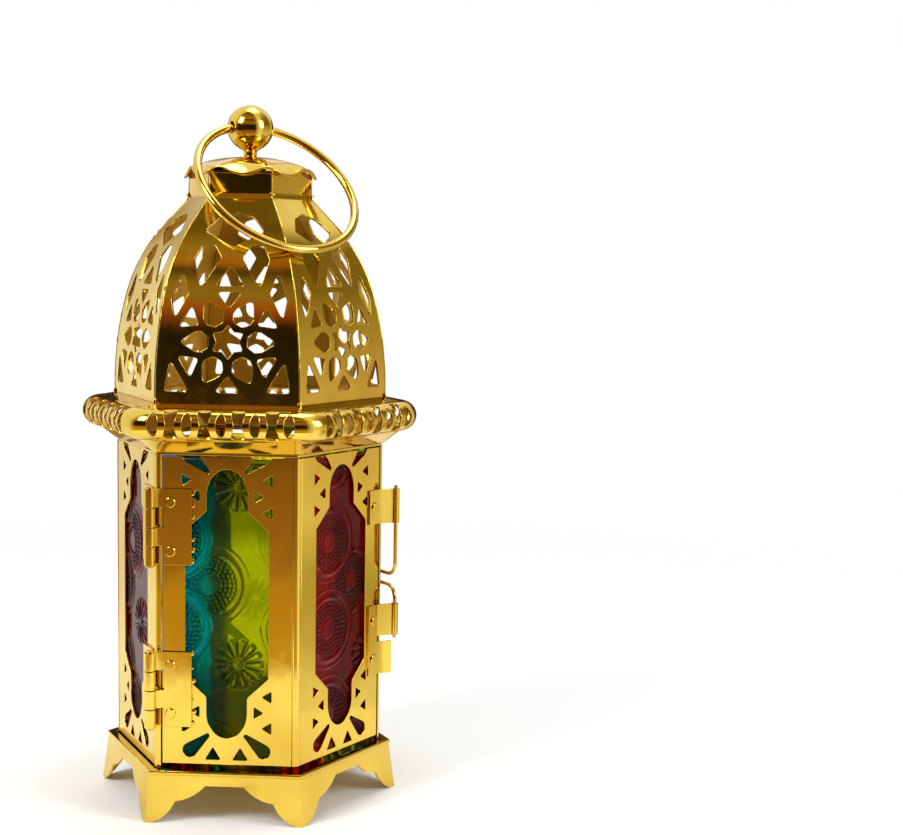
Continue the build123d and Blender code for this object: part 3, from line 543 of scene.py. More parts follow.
def pierced_panel(node, face, body):
    outward, across = face_axes(face)
    points = node_points(node)
    u, z, out = points @ across, points[:, 2], points @ outward
    low, high = (u.min(), z.min()), (u.max(), z.max())
    cut = [hole for hole in PANEL_HOLES if hole[:, 1].max() > high[1]]
    notches = sorted((notch(hole, high[1]) for hole in cut), key=lambda run: -run[0, 0])
    outline = np.concatenate([[low, (high[0], low[1]), high], *notches, [(low[0], high[1])]])
    holes = [hole for hole in PANEL_HOLES if hole[:, 1].max() < high[1]]
    holes += [circle(place, 0.75) for place in RIVET_HOLES.get(node, ())]

    def place(flat, depth):
        return np.outer(flat[:, 0], across) + np.outer(flat[:, 1], UP) + outward * (out.max() - depth)

    def facing(flat):
        return np.tile(outward, (len(flat), 1))

    shell = Shell()
    add_pierced(shell, outline, holes, None, PANEL_SHEET, PANEL_EASE, place, facing)
    count = len(TAB_OUTLINE)
    for rise in TAB_RISES:
        for way in (-1, 1):
            loop = TAB_OUTLINE[::way]
            ends = []
            for end in (-TAB_HALF, TAB_HALF):
                for x, depth in loop:
                    ends.append(place(np.array([(way * x, WINDOW_Z + rise + end)]), depth)[0])
            faces = [(i, (i + 1) % count, (i + 1) % count + count, i + count) for i in range(count)]
            faces += [tuple(range(count - 1, -1, -1)), tuple(range(count, 2 * count))]
            shell.add_flat(ends, faces)
    mesh = shell.mesh("pierced_" + node)
    new_object("pierced_" + node, mesh, GOLD, body, "gold_metal", node)


for face in ("back_right", "back", "back_left", "front_left"):
    pierced_panel(f"panel_{face}", face, "lantern")
pierced_panel("door_panel_front", "front", "door")
pierced_panel("door_panel_side", "front_right", "door")


# Dome panels: a curved sheet that leans in, cut to its sector
DOME_BASE = 97.6
DOME_APOTHEM = 33.4 * math.cos(SECTOR / 2)
DOME_LENGTHS = (2.4, 22.148, 19.583, 6.765, 1.4975, 4.6)
DOME_LEANS = np.radians((0, 0, 13.5, 39, 39, 0, 0))
DOME_SHEET = 0.5
DOME_EASE = 0.1
PATTERN_LENGTH = sum(DOME_LENGTHS[:4])
DOME_HALF = 16.7
ROSETTE_RISE = 14.2
ROSETTE = 11.5


def line_table(start, lengths, leans):
    """Lengths along a line that turns as it goes, with its distance out, its height and its lean."""
    along = np.linspace(0, sum(lengths), 4000)
    lean = np.interp(along, np.cumsum((0,) + lengths), leans)
    step = along[1] - along[0]
    middle = (lean[1:] + lean[:-1]) / 2
    out = start[0] - np.concatenate([[0], np.cumsum(np.sin(middle))]) * step
    high = start[1] + np.concatenate([[0], np.cumsum(np.cos(middle))]) * step
    return along, out, high, lean


DOME_LINE = line_table((DOME_APOTHEM, DOME_BASE), DOME_LENGTHS, DOME_LEANS)


def on_line(table, along):
    return [np.interp(along, table[0], row) for row in table[1:]]


def dome_holes():
    """Holes of one panel, across and along the sheet, with rounded corners."""

    def polar(share, aside, turn):
        turn = math.radians(turn)
        reach, aside = share * ROSETTE, aside * ROSETTE
        x = reach * math.cos(turn) - aside * math.sin(turn)
        return (x, ROSETTE_RISE + reach * math.sin(turn) + aside * math.cos(turn))

    star = []
    holes = []
    for turn in range(0, 360, 60):
        star += [polar(0.23, 0, turn), polar(0.345, 0, turn + 30)]
        half = ((0.39, 0.1), (0.54, 0.21), (0.66, 0.2))
        petal = [polar(reach, -aside, turn) for reach, aside in half] + [polar(0.985, 0, turn)]
        petal += [polar(reach, aside, turn) for reach, aside in reversed(half)]
        wedge = [polar(0.67, 0, turn + 30), polar(1.01, -0.26, turn + 30), polar(1.01, 0.26, turn + 30)]
        holes += [round_corners(petal, 1.1), round_corners(wedge, 0.65)]
    holes.append(round_corners(star, 0.3))

    def place(shares, radius):
        points = [(across * DOME_HALF, along * PATTERN_LENGTH) for across, along in shares]
        return round_corners(points, radius)

    border = (
        (((0.527, 0.053), (0.865, 0.053), (0.793, 0.199)), 0.75),
        (((0.56, 0.5), (0.75, 0.375), (0.8, 0.47), (0.66, 0.61)), 0.85),
        (((0.145, 0.67), (0.415, 0.515), (0.52, 0.66), (0.42, 0.735), (0.26, 0.735)), 0.9),
    )
    for shares, radius in border:
        holes += [place(shares, radius), mirror(place(shares, radius))]
    holes.append(place(((0.205, 0.533), (0.0, 0.632), (-0.205, 0.533)), 0.6))
    shield = ((0.0, 0.724), (0.415, 0.807), (0.242, 0.887), (0.0, 0.92), (-0.242, 0.887), (-0.415, 0.807))
    holes.append(place(shield, 0.9))
    return holes


DOME_HOLES = dome_holes()


def dome_outline():
    along = np.concatenate([
        np.arange(0, 50.5, 0.85),
        np.linspace(50.9, 52.4, 8),
        np.linspace(53.2, sum(DOME_LENGTHS), 6),
    ])
    half = on_line(DOME_LINE, along)[0] * math.tan(SECTOR / 2) - 0.02
    right = np.stack([half, along], -1)
    foot = [(x, 0) for x in np.linspace(-half[0], half[0], 28)[1:-1]]
    head = [(x, along[-1]) for x in np.linspace(half[-1], -half[-1], 14)[1:-1]]
    return np.concatenate([foot, right, head, mirror(right)[::-1]])


def dome_panel(face):
    outward, across = face_axes(face)

    def place(flat, depth):
        out, high, lean = on_line(DOME_LINE, flat[:, 1])
        within = out - depth * np.cos(lean)
        aside = flat[:, 0] * within / out
        rise = high - depth * np.sin(lean)
        return np.outer(within, outward) + np.outer(aside, across) + np.outer(rise, UP)

    def facing(flat):
        lean = on_line(DOME_LINE, flat[:, 1])[2]
        return np.outer(np.cos(lean), outward) + np.outer(np.sin(lean), UP)

    shell = Shell()
    add_pierced(shell, dome_outline(), DOME_HOLES, (1.4, 0.9), DOME_SHEET, DOME_EASE, place, facing)
    node = f"dome_panel_{face}"
    new_object("pierced_" + node, shell.mesh("pierced_" + node), GOLD, "lantern", "gold_metal", node)


for face in FACES:
    dome_panel(face)


# Collar: one hollow bulging strip bent round all six sides, pierced with ovals and waisted gaps
COLLAR_ENDS = (27.9, 28.9, 33.1)
COLLAR_HEIGHTS = (97.6, 96.8, 89.6, 86.3)
COLLAR_TIP = (36.9, 93.4)
COLLAR_SHEET = 0.6
COLLAR_EASE = 0.13
COLLAR_AXIS = 27.3
COLLAR_STRETCH = 8.0
COLLAR_PITCH = 3.85


def collar_table():
    """Lengths round the collar's section from its top edge, with distance out, height and lean."""
    inner, flat, bulge = COLLAR_ENDS
    top, upper, lower, foot = COLLAR_HEIGHTS
    middle = (upper + lower) / 2
    rise = upper - middle
    tip_out, tip_rise = COLLAR_TIP[0] - bulge, COLLAR_TIP[1] - middle
    inset = (tip_out**2 + tip_rise**2 - rise**2) / (2 * tip_out)
    radius = math.hypot(inset, rise)
    end = math.atan2(rise, -inset)
    turns = np.linspace(end, -end, 160)
    arc = [(bulge + inset + radius * math.cos(t), middle + radius * math.sin(t)) for t in turns]
    corners = [(inner, top), (flat, top), (bulge, upper)] + arc
    corners += [(bulge, lower), (flat, foot), (inner, foot)]
    line = [corners[0]]
    for a, b in zip(corners, corners[1:]):
        count = max(1, round(math.dist(a, b) / 0.05))
        for k in range(1, count + 1):
            line.append((a[0] + (b[0] - a[0]) * k / count, a[1] + (b[1] - a[1]) * k / count))
    line = np.array(line)
    line = line[np.concatenate([[True], np.linalg.norm(np.diff(line, axis=0), axis=1) > 1e-4])]
    step = np.diff(line, axis=0)
    along = np.concatenate([[0], np.cumsum(np.linalg.norm(step, axis=1))])
    ahead = np.unwrap(np.arctan2(step[:, 1], step[:, 0]))
    lean = np.interp(along, (along[1:] + along[:-1]) / 2, ahead) + math.pi / 2
    near = np.abs(along[:, None] - along[None, :])
    weight = np.exp(-((near / 0.22) ** 2))
    lean = weight @ lean / weight.sum(1)
    return along, line[:, 0], line[:, 1], lean


COLLAR_LINE = collar_table()
COLLAR_HALF = COLLAR_AXIS * math.tan(SECTOR / 2)
COLLAR_SIDE = 2 * (COLLAR_HALF + COLLAR_STRETCH * SECTOR / 2)


def collar_point(flat, depth):
    """Point of the strip, and the direction that its side faces there."""
    out, high, lean = on_line(COLLAR_LINE, flat[:, 1])
    side = np.clip(np.floor(flat[:, 0] / COLLAR_SIDE), 0, SIDES - 1)
    x = flat[:, 0] - (side + 0.5) * COLLAR_SIDE
    past = np.sign(x) * np.maximum(np.abs(x) - COLLAR_HALF, 0) / COLLAR_STRETCH
    straight = np.clip(x, -COLLAR_HALF, COLLAR_HALF)
    reach = out - depth * np.cos(lean) - COLLAR_AXIS
    forward = COLLAR_AXIS + reach * np.cos(past)
    aside = straight + reach * np.sin(past)
    turn = math.radians(FACES["back_left"]) + side * SECTOR
    place = np.stack([
        forward * np.cos(turn) - aside * np.sin(turn),
        forward * np.sin(turn) + aside * np.cos(turn),
        high - depth * np.sin(lean),
    ], -1)
    return place, turn + past, lean


def collar_facing(flat):
    _, turn, lean = collar_point(flat, 0)
    return np.stack([np.cos(lean) * np.cos(turn), np.cos(lean) * np.sin(turn), np.sin(lean)], -1)


def collar():
    along, out, high, _ = COLLAR_LINE
    bulge = out > COLLAR_ENDS[2]

    def holes_of(side):
        holes = []
        for index in range(-4, 5):
            if index % 2:
                half = [(1.7, -3.2), (0.85, 0), (1.7, 3.2)]
                shape = round_corners(half + [(-x, -z) for x, z in half], 0.6)
            else:
                turns = full_turn(36)
                shape = np.stack([1.15 * np.cos(turns), 2.75 * np.sin(turns)], -1)
            x = (side + 0.5) * COLLAR_SIDE + index * COLLAR_PITCH + shape[:, 0]
            length = np.interp(COLLAR_TIP[1] + shape[:, 1], high[bulge][::-1], along[bulge][::-1])
            holes.append(np.stack([x, length], -1))
        return holes

    holes = [hole for side in range(SIDES) for hole in holes_of(side)]
    wide = SIDES * COLLAR_SIDE
    ends = np.linspace(0, along[-1], 60)
    edge = np.linspace(0, wide, 320)[1:-1]
    outline = np.concatenate([
        [(0, length) for length in ends[::-1]],
        [(x, 0) for x in edge],
        [(wide, length) for length in ends],
        [(x, along[-1]) for x in edge[::-1]],
    ])

    # the strip runs down its face, so it is turned over to keep its outside out
    def place(flat, depth):
        return collar_point(flat * (1, -1), depth)[0]

    def facing(flat):
        return collar_facing(flat * (1, -1))

    shell = Shell()
    flipped = [mirror(hole, False) for hole in holes]
    edge = mirror(outline, False)
    add_pierced(shell, edge, flipped, (0.75, 0.4), COLLAR_SHEET, COLLAR_EASE, place, facing)
    mesh = shell.mesh("pierced_collar")
    new_object("pierced_collar", mesh, GOLD, "lantern", "gold_metal", "collar")


collar()


# Turned and swept pieces
def closed_rings(name, rings, material, body, slot, replaced, sharp=35, caps=False):
    """Skin over rings of points in millimetres. The rings close on each other, or end in caps."""
    bm = bmesh.new()
    rows = [[bm.verts.new(Vector(point) * MM) for point in ring] for ring in rings]
    count = len(rows[0])
    last = len(rows) - 1 if caps else len(rows)
    for i in range(last):
        for j in range(count):
            k, l = (i + 1) % len(rows), (j + 1) % count
            bm.faces.new((rows[i][j], rows[k][j], rows[k][l], rows[i][l]))
    if caps:
        bm.faces.new(rows[0])
        bm.faces.new(rows[-1][::-1])
    bmesh.ops.recalc_face_normals(bm, faces=bm.faces)
    mesh = finish_mesh(bm, name, sharp)
    new_object(name, mesh, material, body, slot, replaced)


PLATE_TOP = 151.204
CAP_LOBES = 8
CAP_TURN = math.radians(-90 + 0.07 * 45)
CAP_SHEET = 0.45
CAP_BORE = 1.06
CAP_BUSH = 2.6
CAP_EDGE = 15.2
CAP_DROOP = 1.5
CAP_FLUTE = 0.35


def bend(a, control, b, count):
    t = np.linspace(0, 1, count)[:, None]
    return (1 - t) ** 2 * np.array(a) + 2 * t * (1 - t) * np.array(control) + t**2 * np.array(b)


def cap():
    """Bowed dish whose rim droops in lobes, with shallow flutes. It clears the neck's corners."""
    bow = bend((3.2, 3.8), (9.6, 3.4), (16.2, 0.5), 60)
    rings = []
    for turn in full_turn(288):
        lobe = (0.5 + 0.5 * math.cos(CAP_LOBES * (turn - CAP_TURN))) ** 0.8
        off_flat = turn % SECTOR - SECTOR / 2
        corner = (1 / math.cos(off_flat) - 1) / (1 / math.cos(SECTOR / 2) - 1)
        edge = CAP_EDGE + corner - 0.5 * (1 - lobe)
        start = 11.0 + 3.9 * corner
        dish = np.linspace(3.2, start, 14)[:-1]
        r = np.concatenate([[CAP_BORE, 2.2], dish, np.linspace(start, edge, 14)])
        z = np.interp(r, bow[:, 0], bow[:, 1])
        z -= CAP_DROOP * lobe * np.clip((r - start) / (edge - start), 0, 1) ** 1.6
        z += CAP_FLUTE * (0.5 - lobe) * np.clip((r - 4.5) / 11, 0, 1) ** 1.4
        top = np.stack([r, z], -1)
        ahead = np.gradient(top, axis=0)
        ahead /= np.linalg.norm(ahead, axis=1, keepdims=True)
        normal = np.stack([-ahead[:, 1], ahead[:, 0]], -1)
        middle = top[-1] - CAP_SHEET / 2 * normal[-1]
        tip = [
            middle + CAP_SHEET / 2 * (math.cos(t) * normal[-1] + math.sin(t) * ahead[-1])
            for t in np.radians((45, 90, 135))
        ]
        under = (top - CAP_SHEET * normal)[3:][::-1]
        section = np.concatenate([top, tip, under, [(CAP_BUSH, 3.2), (CAP_BUSH, 0), (CAP_BORE, 0)]])
        rings.append([(r * math.cos(turn), r * math.sin(turn), PLATE_TOP + z) for r, z in section])
    closed_rings("fluted_cap", rings, GOLD, "lantern", "gold_metal", "cap", 50)


cap()

BALL_Z = 162.004
BALL_RADIUS = 5.5
BORE = 1.39
BORE_TURN = math.radians(39)
STEM_FOOT = PLATE_TOP + 3.8
STEM = ((1.45, 0.0), (1.55, 0.1), (1.55, 0.8), (1.6, 1.3), (1.85, 1.75), (1.4, 2.3))


def ball():
    """Ball with a cross hole for the ring, and the neck that it stands on."""
    start = math.asin((BORE + 0.25) / BALL_RADIUS)
    turns = np.linspace(start, math.pi - start, 56)
    section = [(BALL_RADIUS * math.cos(t), BALL_RADIUS * math.sin(t)) for t in turns]
    end = section[0][0]
    section = [(end - 0.28, BORE), (end - 0.08, BORE + 0.08)] + section
    section += [(0.08 - end, BORE + 0.08), (0.28 - end, BORE)]
    axis = np.array((math.cos(BORE_TURN), math.sin(BORE_TURN), 0))
    side = np.array((-axis[1], axis[0], 0))
    rings = []
    for x, r in section:
        rings.append([
            axis * x + side * r * math.cos(t) + UP * (BALL_Z + r * math.sin(t))
            for t in full_turn(96)
        ])
    closed_rings("ball", rings, GOLD, "lantern", "gold_metal", "ball_finial", 50)
    rings = []
    for r, rise in STEM:
        rings.append([(r * math.cos(t), r * math.sin(t), STEM_FOOT + rise) for t in full_turn(48)])
    closed_rings("ball_stem", rings, GOLD, "lantern", "gold_metal", None, 50, True)


ball()


# Solder along the dome's ridges and in drops where the sheets were joined
chance = np.random.RandomState(7)
BEAD_RADIUS = 0.14
BEAD_SINK = 0.1
RING_RIDGE = 5
RING_HEIGHT = 132.9
WEAR_REACH = (1.4, 2.6)
WEAR_SINK = 0.09
HINGE_FACE = 28.58
HINGE_SHARES = (0.06, 0.2, 0.36, 0.63, 0.8, 0.95)
FOOT_SOLDER = (33.45, 97.9)
NECK_SOLDER = (15.35, 145.9)
NECK_SLOPE = 0.9


def ridge_bead(index):
    """Uneven bead of solder on one ridge, worn down where the hanging ring leans on it."""
    turn = SECTOR * index
    outward = np.array((math.cos(turn), math.sin(turn), 0))
    side = np.array((-math.sin(turn), math.cos(turn), 0))
    along = np.linspace(0.1, sum(DOME_LENGTHS) - 0.1, 130)
    out, high, lean = on_line(DOME_LINE, along)
    out = out / math.cos(SECTOR / 2)
    swell = np.interp(along, np.arange(0, 60, 1.3), 0.5 + chance.rand(47))
    lumps = np.clip(np.interp(along, np.arange(0, 60, 2.1), chance.rand(29)) - 0.75, 0, 1)
    rings = []
    for r, z, tilt, size, lump in zip(out, high, lean, swell, lumps):
        wear = np.interp(abs(z - RING_HEIGHT), WEAR_REACH, (1, 0)) if index == RING_RIDGE else 0
        radius = BEAD_RADIUS + (1 - wear) * (0.06 * size + 0.5 * lump)
        ridge = math.atan(math.tan(tilt) / math.cos(SECTOR / 2))
        normal = outward * math.cos(ridge) + UP * math.sin(ridge)
        middle = outward * r + UP * z - (BEAD_SINK + WEAR_SINK * wear) * normal
        rings.append([middle + radius * (normal * math.cos(t) + side * math.sin(t)) for t in full_turn(8)])
    closed_rings(f"dome_seam_{index}", rings, GOLD, "lantern", "gold_metal", None, 60, True)


for index in range(SIDES):
    ridge_bead(index)


def solder_drop(name, middle, normal, size, body):
    """Low lump of solder, a little out of round."""
    normal = np.array(normal, float)
    side = np.cross(normal, UP)
    side /= np.linalg.norm(side)
    up = np.cross(side, normal)
    stretch = 0.8 + 0.5 * chance.rand(2)
    phase = 6.28 * chance.rand()
    rings = []
    for t in np.linspace(-0.35, 1.45, 8):
        ring = []
        for a in full_turn(18):
            uneven = 1 + 0.16 * math.sin(2 * a + phase) + 0.1 * math.sin(3 * a - phase)
            r = size * math.cos(t) * uneven
            ring.append(
                np.array(middle) + side * r * stretch[0] * math.cos(a) + up * r * stretch[1] * math.sin(a)
                + normal * size * 0.38 * math.sin(t)
            )
        rings.append(ring)
    closed_rings(name, rings, GOLD, body, "gold_metal", None, 60, True)


def solder():
    for face, sign, body in (("front", 1, "door"), ("front_left", -1, "lantern")):
        outward, across = face_axes(face)
        kind = "door" if body == "door" else "body"
        for hinge in ("lower", "upper"):
            points = node_points(f"hinge_{hinge}_{kind}_leaf")
            reach = sign * points @ across
            inner = sign * reach.max()
            low, high = points[:, 2].min(), points[:, 2].max()
            for number, share in enumerate(HINGE_SHARES):
                z = low + (high - low) * (share + 0.06 * (chance.rand() - 0.5))
                middle = outward * HINGE_FACE + across * (inner + sign * 0.1) + UP * z
                size = 0.35 + 0.35 * chance.rand()
                solder_drop(f"solder_{kind}_{hinge}_{number}", middle, outward, size, body)
    for index in range(SIDES):
        turn = SECTOR * index
        out = np.array((math.cos(turn), math.sin(turn), 0))
        foot = out * FOOT_SOLDER[0] + UP * FOOT_SOLDER[1]
        solder_drop(f"solder_foot_{index}", foot, out, 0.55 + 0.2 * chance.rand(), "lantern")
        neck = out * NECK_SOLDER[0] + UP * NECK_SOLDER[1]
        lean = (out + UP * NECK_SLOPE) / math.hypot(1, NECK_SLOPE)
        solder_drop(f"solder_neck_{index}", neck, lean, 0.4 + 0.2 * chance.rand(), "lantern")


solder()


# Pressed glass panes: relief cut into the outer face
MOTIF_PITCH = (30.0, 41.6)
RELIEF_DEPTH = 0.4
PANE_STEP = 0.22
BOSS = 2.5
RIB = 7.5
OUTER_LINE = 9.4
DOT_ROWS = (3.2, 4.2, 5.2, 6.15)
DOT_PITCH = 1.15
DOT_LIFT = 0.8
PANES = {
    "front": ("glass_green", (-4.4, 6.3)),
    "front_right": ("glass_red", (4.6, 4.6)),
    "back_right": ("glass_green", (3.0, -4.0)),
    "back": ("glass_yellow", (-4.0, 10.0)),
    "back_left": ("glass_blue", (5.0, 2.0)),
    "front_left": ("glass_red", (-5.0, 13.0)),
}


def smooth(value, low, high):
    x = np.clip((value - low) / (high - low), 0, 1)
    return x * x * (3 - 2 * x)


def medallion(r, turn):
    """Height and painted shade of a plain boss, beads round it on sunk ground, a thick rib and a thin line.
    """
    height = np.maximum(0.6 * smooth(r, BOSS, BOSS - 0.4), np.exp(-(((r - RIB) / 0.6) ** 2)))
    beads = np.zeros_like(r)
    for row in DOT_ROWS:
        count = round(2 * math.pi * row / DOT_PITCH)
        step = 2 * math.pi / count
        along = (turn / step - np.round(turn / step)) * step * row
        beads = np.maximum(beads, smooth(np.hypot(along, r - row), 0.5, 0.26))
    height = np.maximum(height, DOT_LIFT * beads)
    height = np.maximum(height, 0.5 * np.exp(-(((r - OUTER_LINE) / 0.2) ** 2)))
    # painted shade on the sunk ground between the boss and the rib, left off the beads
    ground = smooth(r, BOSS - 0.1, BOSS + 0.2) * smooth(r, RIB - 0.6, RIB - 0.9)
    return height, 0.8 * ground * (1 - beads)


def leaves(r, turn):
    """Ring of leaves that spread from a bead. Height, and painted shade between the leaves."""
    blade = np.abs(np.cos(7 * turn)) - 0.5 + 0.08 * (r - 3)
    height = 0.95 * smooth(blade, 0, 0.45) * smooth(r, 0.9, 1.6) * smooth(r, 6.2, 5.0)
    leaf_gap_shade = smooth(blade, 0.1, -0.1) * smooth(r, 1.2, 1.7) * smooth(r, 5.6, 4.6)
    return np.maximum(height, smooth(r, 1.2, 0.7)), 0.7 * leaf_gap_shade


MOTIFS = (
    (leaves, (7.0, -18.6), 6.3),
    (medallion, (0.0, 0.0), 9.9),
    (medallion, (-8.5, 10.4), 9.9),
    (medallion, (-8.5, -10.4), 9.9),
)


def relief_at(u, v, phase):
    """Motifs repeated over the pane, each laid over the ones before it. Height and painted shade."""
    height = np.zeros_like(u)
    painted_relief_shade = np.zeros_like(u)
    for shape, middle, reach in MOTIFS:
        x, y = [
            (value - start - offset) / pitch
            for value, start, offset, pitch in zip((u, v), phase, middle, MOTIF_PITCH)
        ]
        x, y = (x - np.round(x)) * MOTIF_PITCH[0], (y - np.round(y)) * MOTIF_PITCH[1]
        r = np.hypot(x, y)
        motif_height, motif_painted_shade = shape(r, np.arctan2(y, x))
        height = np.where(r < reach, motif_height, height)
        painted_relief_shade = np.where(r < reach, motif_painted_shade, painted_relief_shade)
    return np.clip(height, 0, 1), painted_relief_shade


def glass_pane(face, body):
    node = f"pane_{face}"
    slot, phase = PANES[face]
    outward, across = face_axes(face)
    points = node_points(node)
    spans = []
    for axis in (across, UP, outward):
        reach = points @ axis
        spans.append((reach.min(), reach.max()))
    (u0, u1), (v0, v1), (n0, n1) = spans
    columns = int(round((u1 - u0) / PANE_STEP)) + 1
    rows = int(round((v1 - v0) / PANE_STEP)) + 1
    u, v = np.meshgrid(np.linspace(u0, u1, columns), np.linspace(v0, v1, rows))
    middle = (v0 + v1) / 2
    border = np.minimum(np.minimum(u - u0, u1 - u), np.minimum(v - v0, v1 - v))
    height, painted_relief_shade = relief_at(u, v - middle, phase)
    sunk = RELIEF_DEPTH * (1 - height) * smooth(border, 0.6, 1.4)
    front = np.stack([u, v, n1 - sunk], -1).reshape(-1, 3)
    axes = np.array([across, UP, outward])
    index = np.arange(rows * columns).reshape(rows, columns)
    quads = np.stack([index[:-1, :-1], index[:-1, 1:], index[1:, 1:], index[1:, :-1]], -1).reshape(-1, 4)
    loop = np.concatenate([index[0, :], index[1:, -1], index[-1, -2::-1], index[-2:0:-1, 0]])
    back = front[loop] * (1, 1, 0) + (0, 0, n0)
    corners = np.concatenate([front, back]) @ axes * MM
    far = rows * columns + np.arange(len(loop))
    sides = np.stack([loop, far, np.roll(far, -1), np.roll(loop, -1)], -1)
    faces = quads.tolist() + sides.tolist() + [far[::-1].tolist()]
    mesh = bpy.data.meshes.new("glass_" + face)
    mesh.from_pydata(corners.tolist(), [], faces)
    mesh.shade_smooth()
    mesh.set_sharp_from_angle(angle=math.radians(60))
    # painted shade where the relief is steep, stored on the mesh for the glass material
    steep = np.hypot(*np.gradient(sunk, PANE_STEP))
    painted_relief_shade = np.maximum(painted_relief_shade, smooth(steep, 0.25, 0.9)).reshape(-1)
    painted_relief_shade = np.concatenate([painted_relief_shade, np.zeros(len(loop))])
    mesh.attributes.new("painted_relief_shade", "FLOAT", "POINT").data.foreach_set("value", painted_relief_shade)
    material = DOOR_GLASS.get(face, GLASS[slot])
    new_object("glass_" + face, mesh, material, body, slot, node)


for face in FACES:
    glass_pane(face, "door" if face in ("front", "front_right") else "lantern")


# Hanging ring
RING_STEPS = 180
WIRE_STEPS = 18


def wire_ring():
    points = node_points("hanging_ring")
    center = points.mean(0)
    start, _, normal = np.linalg.svd(points - center, full_matrices=False)[2]
    reach = np.linalg.norm(points - center - np.outer((points - center) @ normal, normal), axis=1)
    major = (reach.max() + reach.min()) / 2
    minor = (reach.max() - reach.min()) / 2
    side = np.cross(normal, start)
    rings = []
    for a in full_turn(RING_STEPS):
        out = start * math.cos(a) + side * math.sin(a)
        rings.append([
            center + out * (major + minor * math.cos(b)) + normal * minor * math.sin(b)
            for b in full_turn(WIRE_STEPS)
        ])
    closed_rings("wire_ring", rings, GOLD_WIRE, "ring", "gold_wire", "hanging_ring")


wire_ring()


# Camera at the photograph's viewpoint
CAMERA_PLACE = (0.069961, -0.392707, 0.131698)
CAMERA_ANGLES = (2.947, 5.64, 0.925)
CAMERA_LENS = 64.52
camera_data = bpy.data.cameras.new("camera")
camera = bpy.data.objects.new("camera", camera_data)
scene.collection.objects.link(camera)
heading, dip, roll = np.radians(CAMERA_ANGLES)
forward = Vector((-math.sin(heading) * math.cos(dip), math.cos(heading) * math.cos(dip), -math.sin(dip)))
right = Vector((math.cos(heading), math.sin(heading), 0))
up = right.cross(forward)
rolled_right = right * math.cos(roll) + up * math.sin(roll)
rolled_up = up * math.cos(roll) - right * math.sin(roll)
axes = Matrix((rolled_right, rolled_up, -forward)).transposed().to_4x4()
camera.matrix_world = Matrix.Translation(CAMERA_PLACE) @ axes
camera_data.sensor_fit = "HORIZONTAL"
camera_data.sensor_width = 36
camera_data.lens = CAMERA_LENS
camera_data.clip_start = 0.01
scene.camera = camera


# Floor: pale, holds the shadow near the lantern and fades into white
FLOOR_RADIUS = 0.5
FLOOR_FADE = (0.16, 0.42)


def floor():
    n = Nodes("pale_floor")
    place = n.add("ShaderNodeTexCoord").outputs["Object"]
    reach = n.add("ShaderNodeVectorMath", {0: place}, operation="LENGTH").outputs["Value"]
    fade = n.mapped(reach, *FLOOR_FADE, 0.0, 1.0)
    diffuse = n.add("ShaderNodeBsdfDiffuse", {"Color": (0.93, 0.93, 0.93, 1)})
    clear = n.add("ShaderNodeBsdfTransparent")
    mix = n.add("ShaderNodeMixShader", {0: fade, 1: diffuse.outputs[0], 2: clear.outputs[0]})
    n.surface(mix)
    bm = bmesh.new()
    bmesh.ops.create_circle(bm, cap_ends=True, segments=96, radius=FLOOR_RADIUS)
    mesh = bpy.data.meshes.new("floor")
    bm.to_mesh(mesh)
    bm.free()
    mesh.materials.append(n.material)
    piece = bpy.data.objects.new("floor", mesh)
    scene.collection.objects.link(piece)


floor()


# Light: white surroundings and soft boxes
WORLD_LIGHT = 0.55


def surroundings():
    world = bpy.data.worlds.new("studio")
    scene.world = world
    world.use_nodes = True
    tree = world.node_tree
    tree.nodes.clear()
    path = tree.nodes.new("ShaderNodeLightPath")
    seen = path.outputs["Is Camera Ray"]
    for flag in ("Is Glossy Ray", "Is Transmission Ray"):
        either = tree.nodes.new("ShaderNodeMath")
        either.operation = "MAXIMUM"
        tree.links.new(seen, either.inputs[0])
        tree.links.new(path.outputs[flag], either.inputs[1])
        seen = either.outputs[0]
    mix = tree.nodes.new("ShaderNodeMixShader")
    tree.links.new(seen, mix.inputs[0])
    for number, strength in enumerate((WORLD_LIGHT, 1.0), 1):
        white = tree.nodes.new("ShaderNodeBackground")
        white.inputs["Color"].default_value = (1, 1, 1, 1)
        white.inputs["Strength"].default_value = strength
        tree.links.new(white.outputs[0], mix.inputs[number])
    output = tree.nodes.new("ShaderNodeOutputWorld")
    tree.links.new(mix.outputs[0], output.inputs["Surface"])


def soft_box(name, place, target, size, power):
    data = bpy.data.lights.new(name, "AREA")
    data.shape = "RECTANGLE"
    data.size, data.size_y = size
    data.energy = power
    lamp = bpy.data.objects.new(name, data)
    scene.collection.objects.link(lamp)
    lamp.location = place
    aim = Vector(target) - Vector(place)
    lamp.rotation_euler = aim.to_track_quat("-Z", "Y").to_euler()


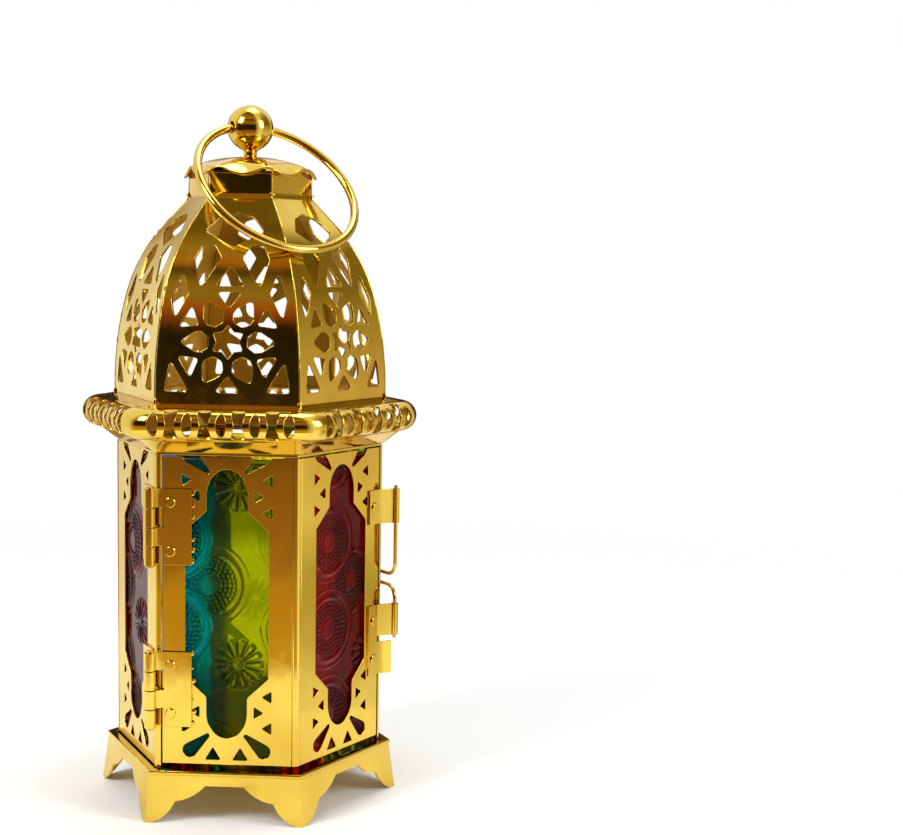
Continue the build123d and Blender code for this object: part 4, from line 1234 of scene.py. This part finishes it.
# Warm dark boards, which only show in reflections and give the polish its contrast
BOARD_REACH = 0.9
BOARD_LIFT = 0.0012
BOARD_RISE = 0.1
FRONT_FLOOR = (
    (0.16, (0.63, 0.4, 0.06)),
    (0.29, (0.58, 0.35, 0.06)),
    (0.34, (0.36, 0.19, 0.07)),
    (0.66, (0.29, 0.14, 0.045)),
)
FRONT_WALL = (
    (-5, (0.03, 0.022, 0.012)),
    (16, (0.014, 0.012, 0.008)),
    (22, (0.4, 0.1, 0.02)),
    (26, (0.3, 0.22, 0.08)),
    (34, (0.26, 0.18, 0.06)),
    (42, (0.05, 0.035, 0.012)),
    (47, (0.42, 0.17, 0.02)),
    (56, (0.34, 0.24, 0.06)),
    (70, (0.15, 0.11, 0.03)),
    (84, (0.17, 0.125, 0.035)),
    (95, (0.6, 0.5, 0.3)),
)
BACK_WALL = (
    (-5, (0.05, 0.035, 0.018)),
    (11, (0.02, 0.016, 0.01)),
    (15, (0.36, 0.12, 0.02)),
    (18, (0.34, 0.25, 0.09)),
    (24, (1.0, 1.0, 1.0)),
)
SIDE_FLOOR = (
    (0.1, (1.0, 1.0, 1.0)),
    (0.18, (0.66, 0.6, 0.4)),
    (0.3, (0.52, 0.48, 0.27)),
    (0.42, (0.85, 0.8, 0.66)),
    (0.7, (0.78, 0.7, 0.6)),
)
SIDE_WALL = (
    (-4, (0.72, 0.62, 0.5)),
    (8, (0.46, 0.38, 0.22)),
    (18, (0.23, 0.18, 0.065)),
    (38, (0.24, 0.19, 0.065)),
    (52, (0.6, 0.52, 0.32)),
    (64, (1.0, 1.0, 1.0)),
)


def board(name, turn, spread, floor_bands, wall_bands):
    """Curved board that runs out along the floor and up overhead. Its sides fade to white."""
    bands = list(floor_bands)
    bands += [(BOARD_REACH * (1 + math.radians(lift)), color) for lift, color in wall_bands]
    n = Nodes(name)
    color = n.bands(n.attribute("along"), bands)
    color = n.mix(n.mapped(n.attribute("aside"), 0.72, 1.0, 0.0, 1.0), color, (1, 1, 1, 1))
    n.surface(n.add("ShaderNodeEmission", {"Color": color, "Strength": 1.0}))
    profile = [(reach, BOARD_LIFT, reach) for reach in np.linspace(bands[0][0], BOARD_REACH - 0.04, 12)]
    for lift in np.radians(np.linspace(-4, wall_bands[-1][0], 48)):
        out, high_up = math.cos(lift), math.sin(lift)
        profile.append((BOARD_REACH * out, BOARD_RISE + BOARD_REACH * high_up, BOARD_REACH * (1 + lift)))
    shares = np.linspace(-1, 1, 41)
    points = []
    for share in shares:
        heading_there = turn + spread * share
        points += [(r * math.cos(heading_there), r * math.sin(heading_there), z) for r, z, _ in profile]
    count = len(profile)
    faces = []
    for i in range(len(shares) - 1):
        for j in range(count - 1):
            k = i * count + j
            faces.append((k, k + 1, k + count + 1, k + count))
    mesh = bpy.data.meshes.new(name)
    mesh.from_pydata(points, [], faces)
    for label, values in (
        ("along", [place[2] for _ in shares for place in profile]),
        ("aside", [abs(share) for share in shares for _ in profile]),
    ):
        mesh.attributes.new(label, "FLOAT", "POINT").data.foreach_set("value", values)
    mesh.materials.append(n.material)
    piece = bpy.data.objects.new(name, mesh)
    scene.collection.objects.link(piece)
    piece.visible_camera = False
    piece.visible_diffuse = False
    piece.visible_transmission = False
    piece.visible_shadow = False


board("board_front", math.radians(-102), math.radians(66), FRONT_FLOOR, FRONT_WALL)
board("board_back", math.radians(92), math.radians(45), FRONT_FLOOR, BACK_WALL)
board("board_right", math.radians(14), math.radians(34), SIDE_FLOOR, SIDE_WALL)

surroundings()
soft_box("key", (-0.4, -0.42, 0.55), (0, 0, 0.08), (0.22, 0.3), 3.0)
soft_box("fill", (0.55, -0.22, 0.34), (0, 0, 0.08), (0.2, 0.34), 1.7)
soft_box("top", (0.05, 0.1, 0.7), (0, 0, 0.08), (0.3, 0.3), 1.7)

scene.view_settings.view_transform = "Standard"
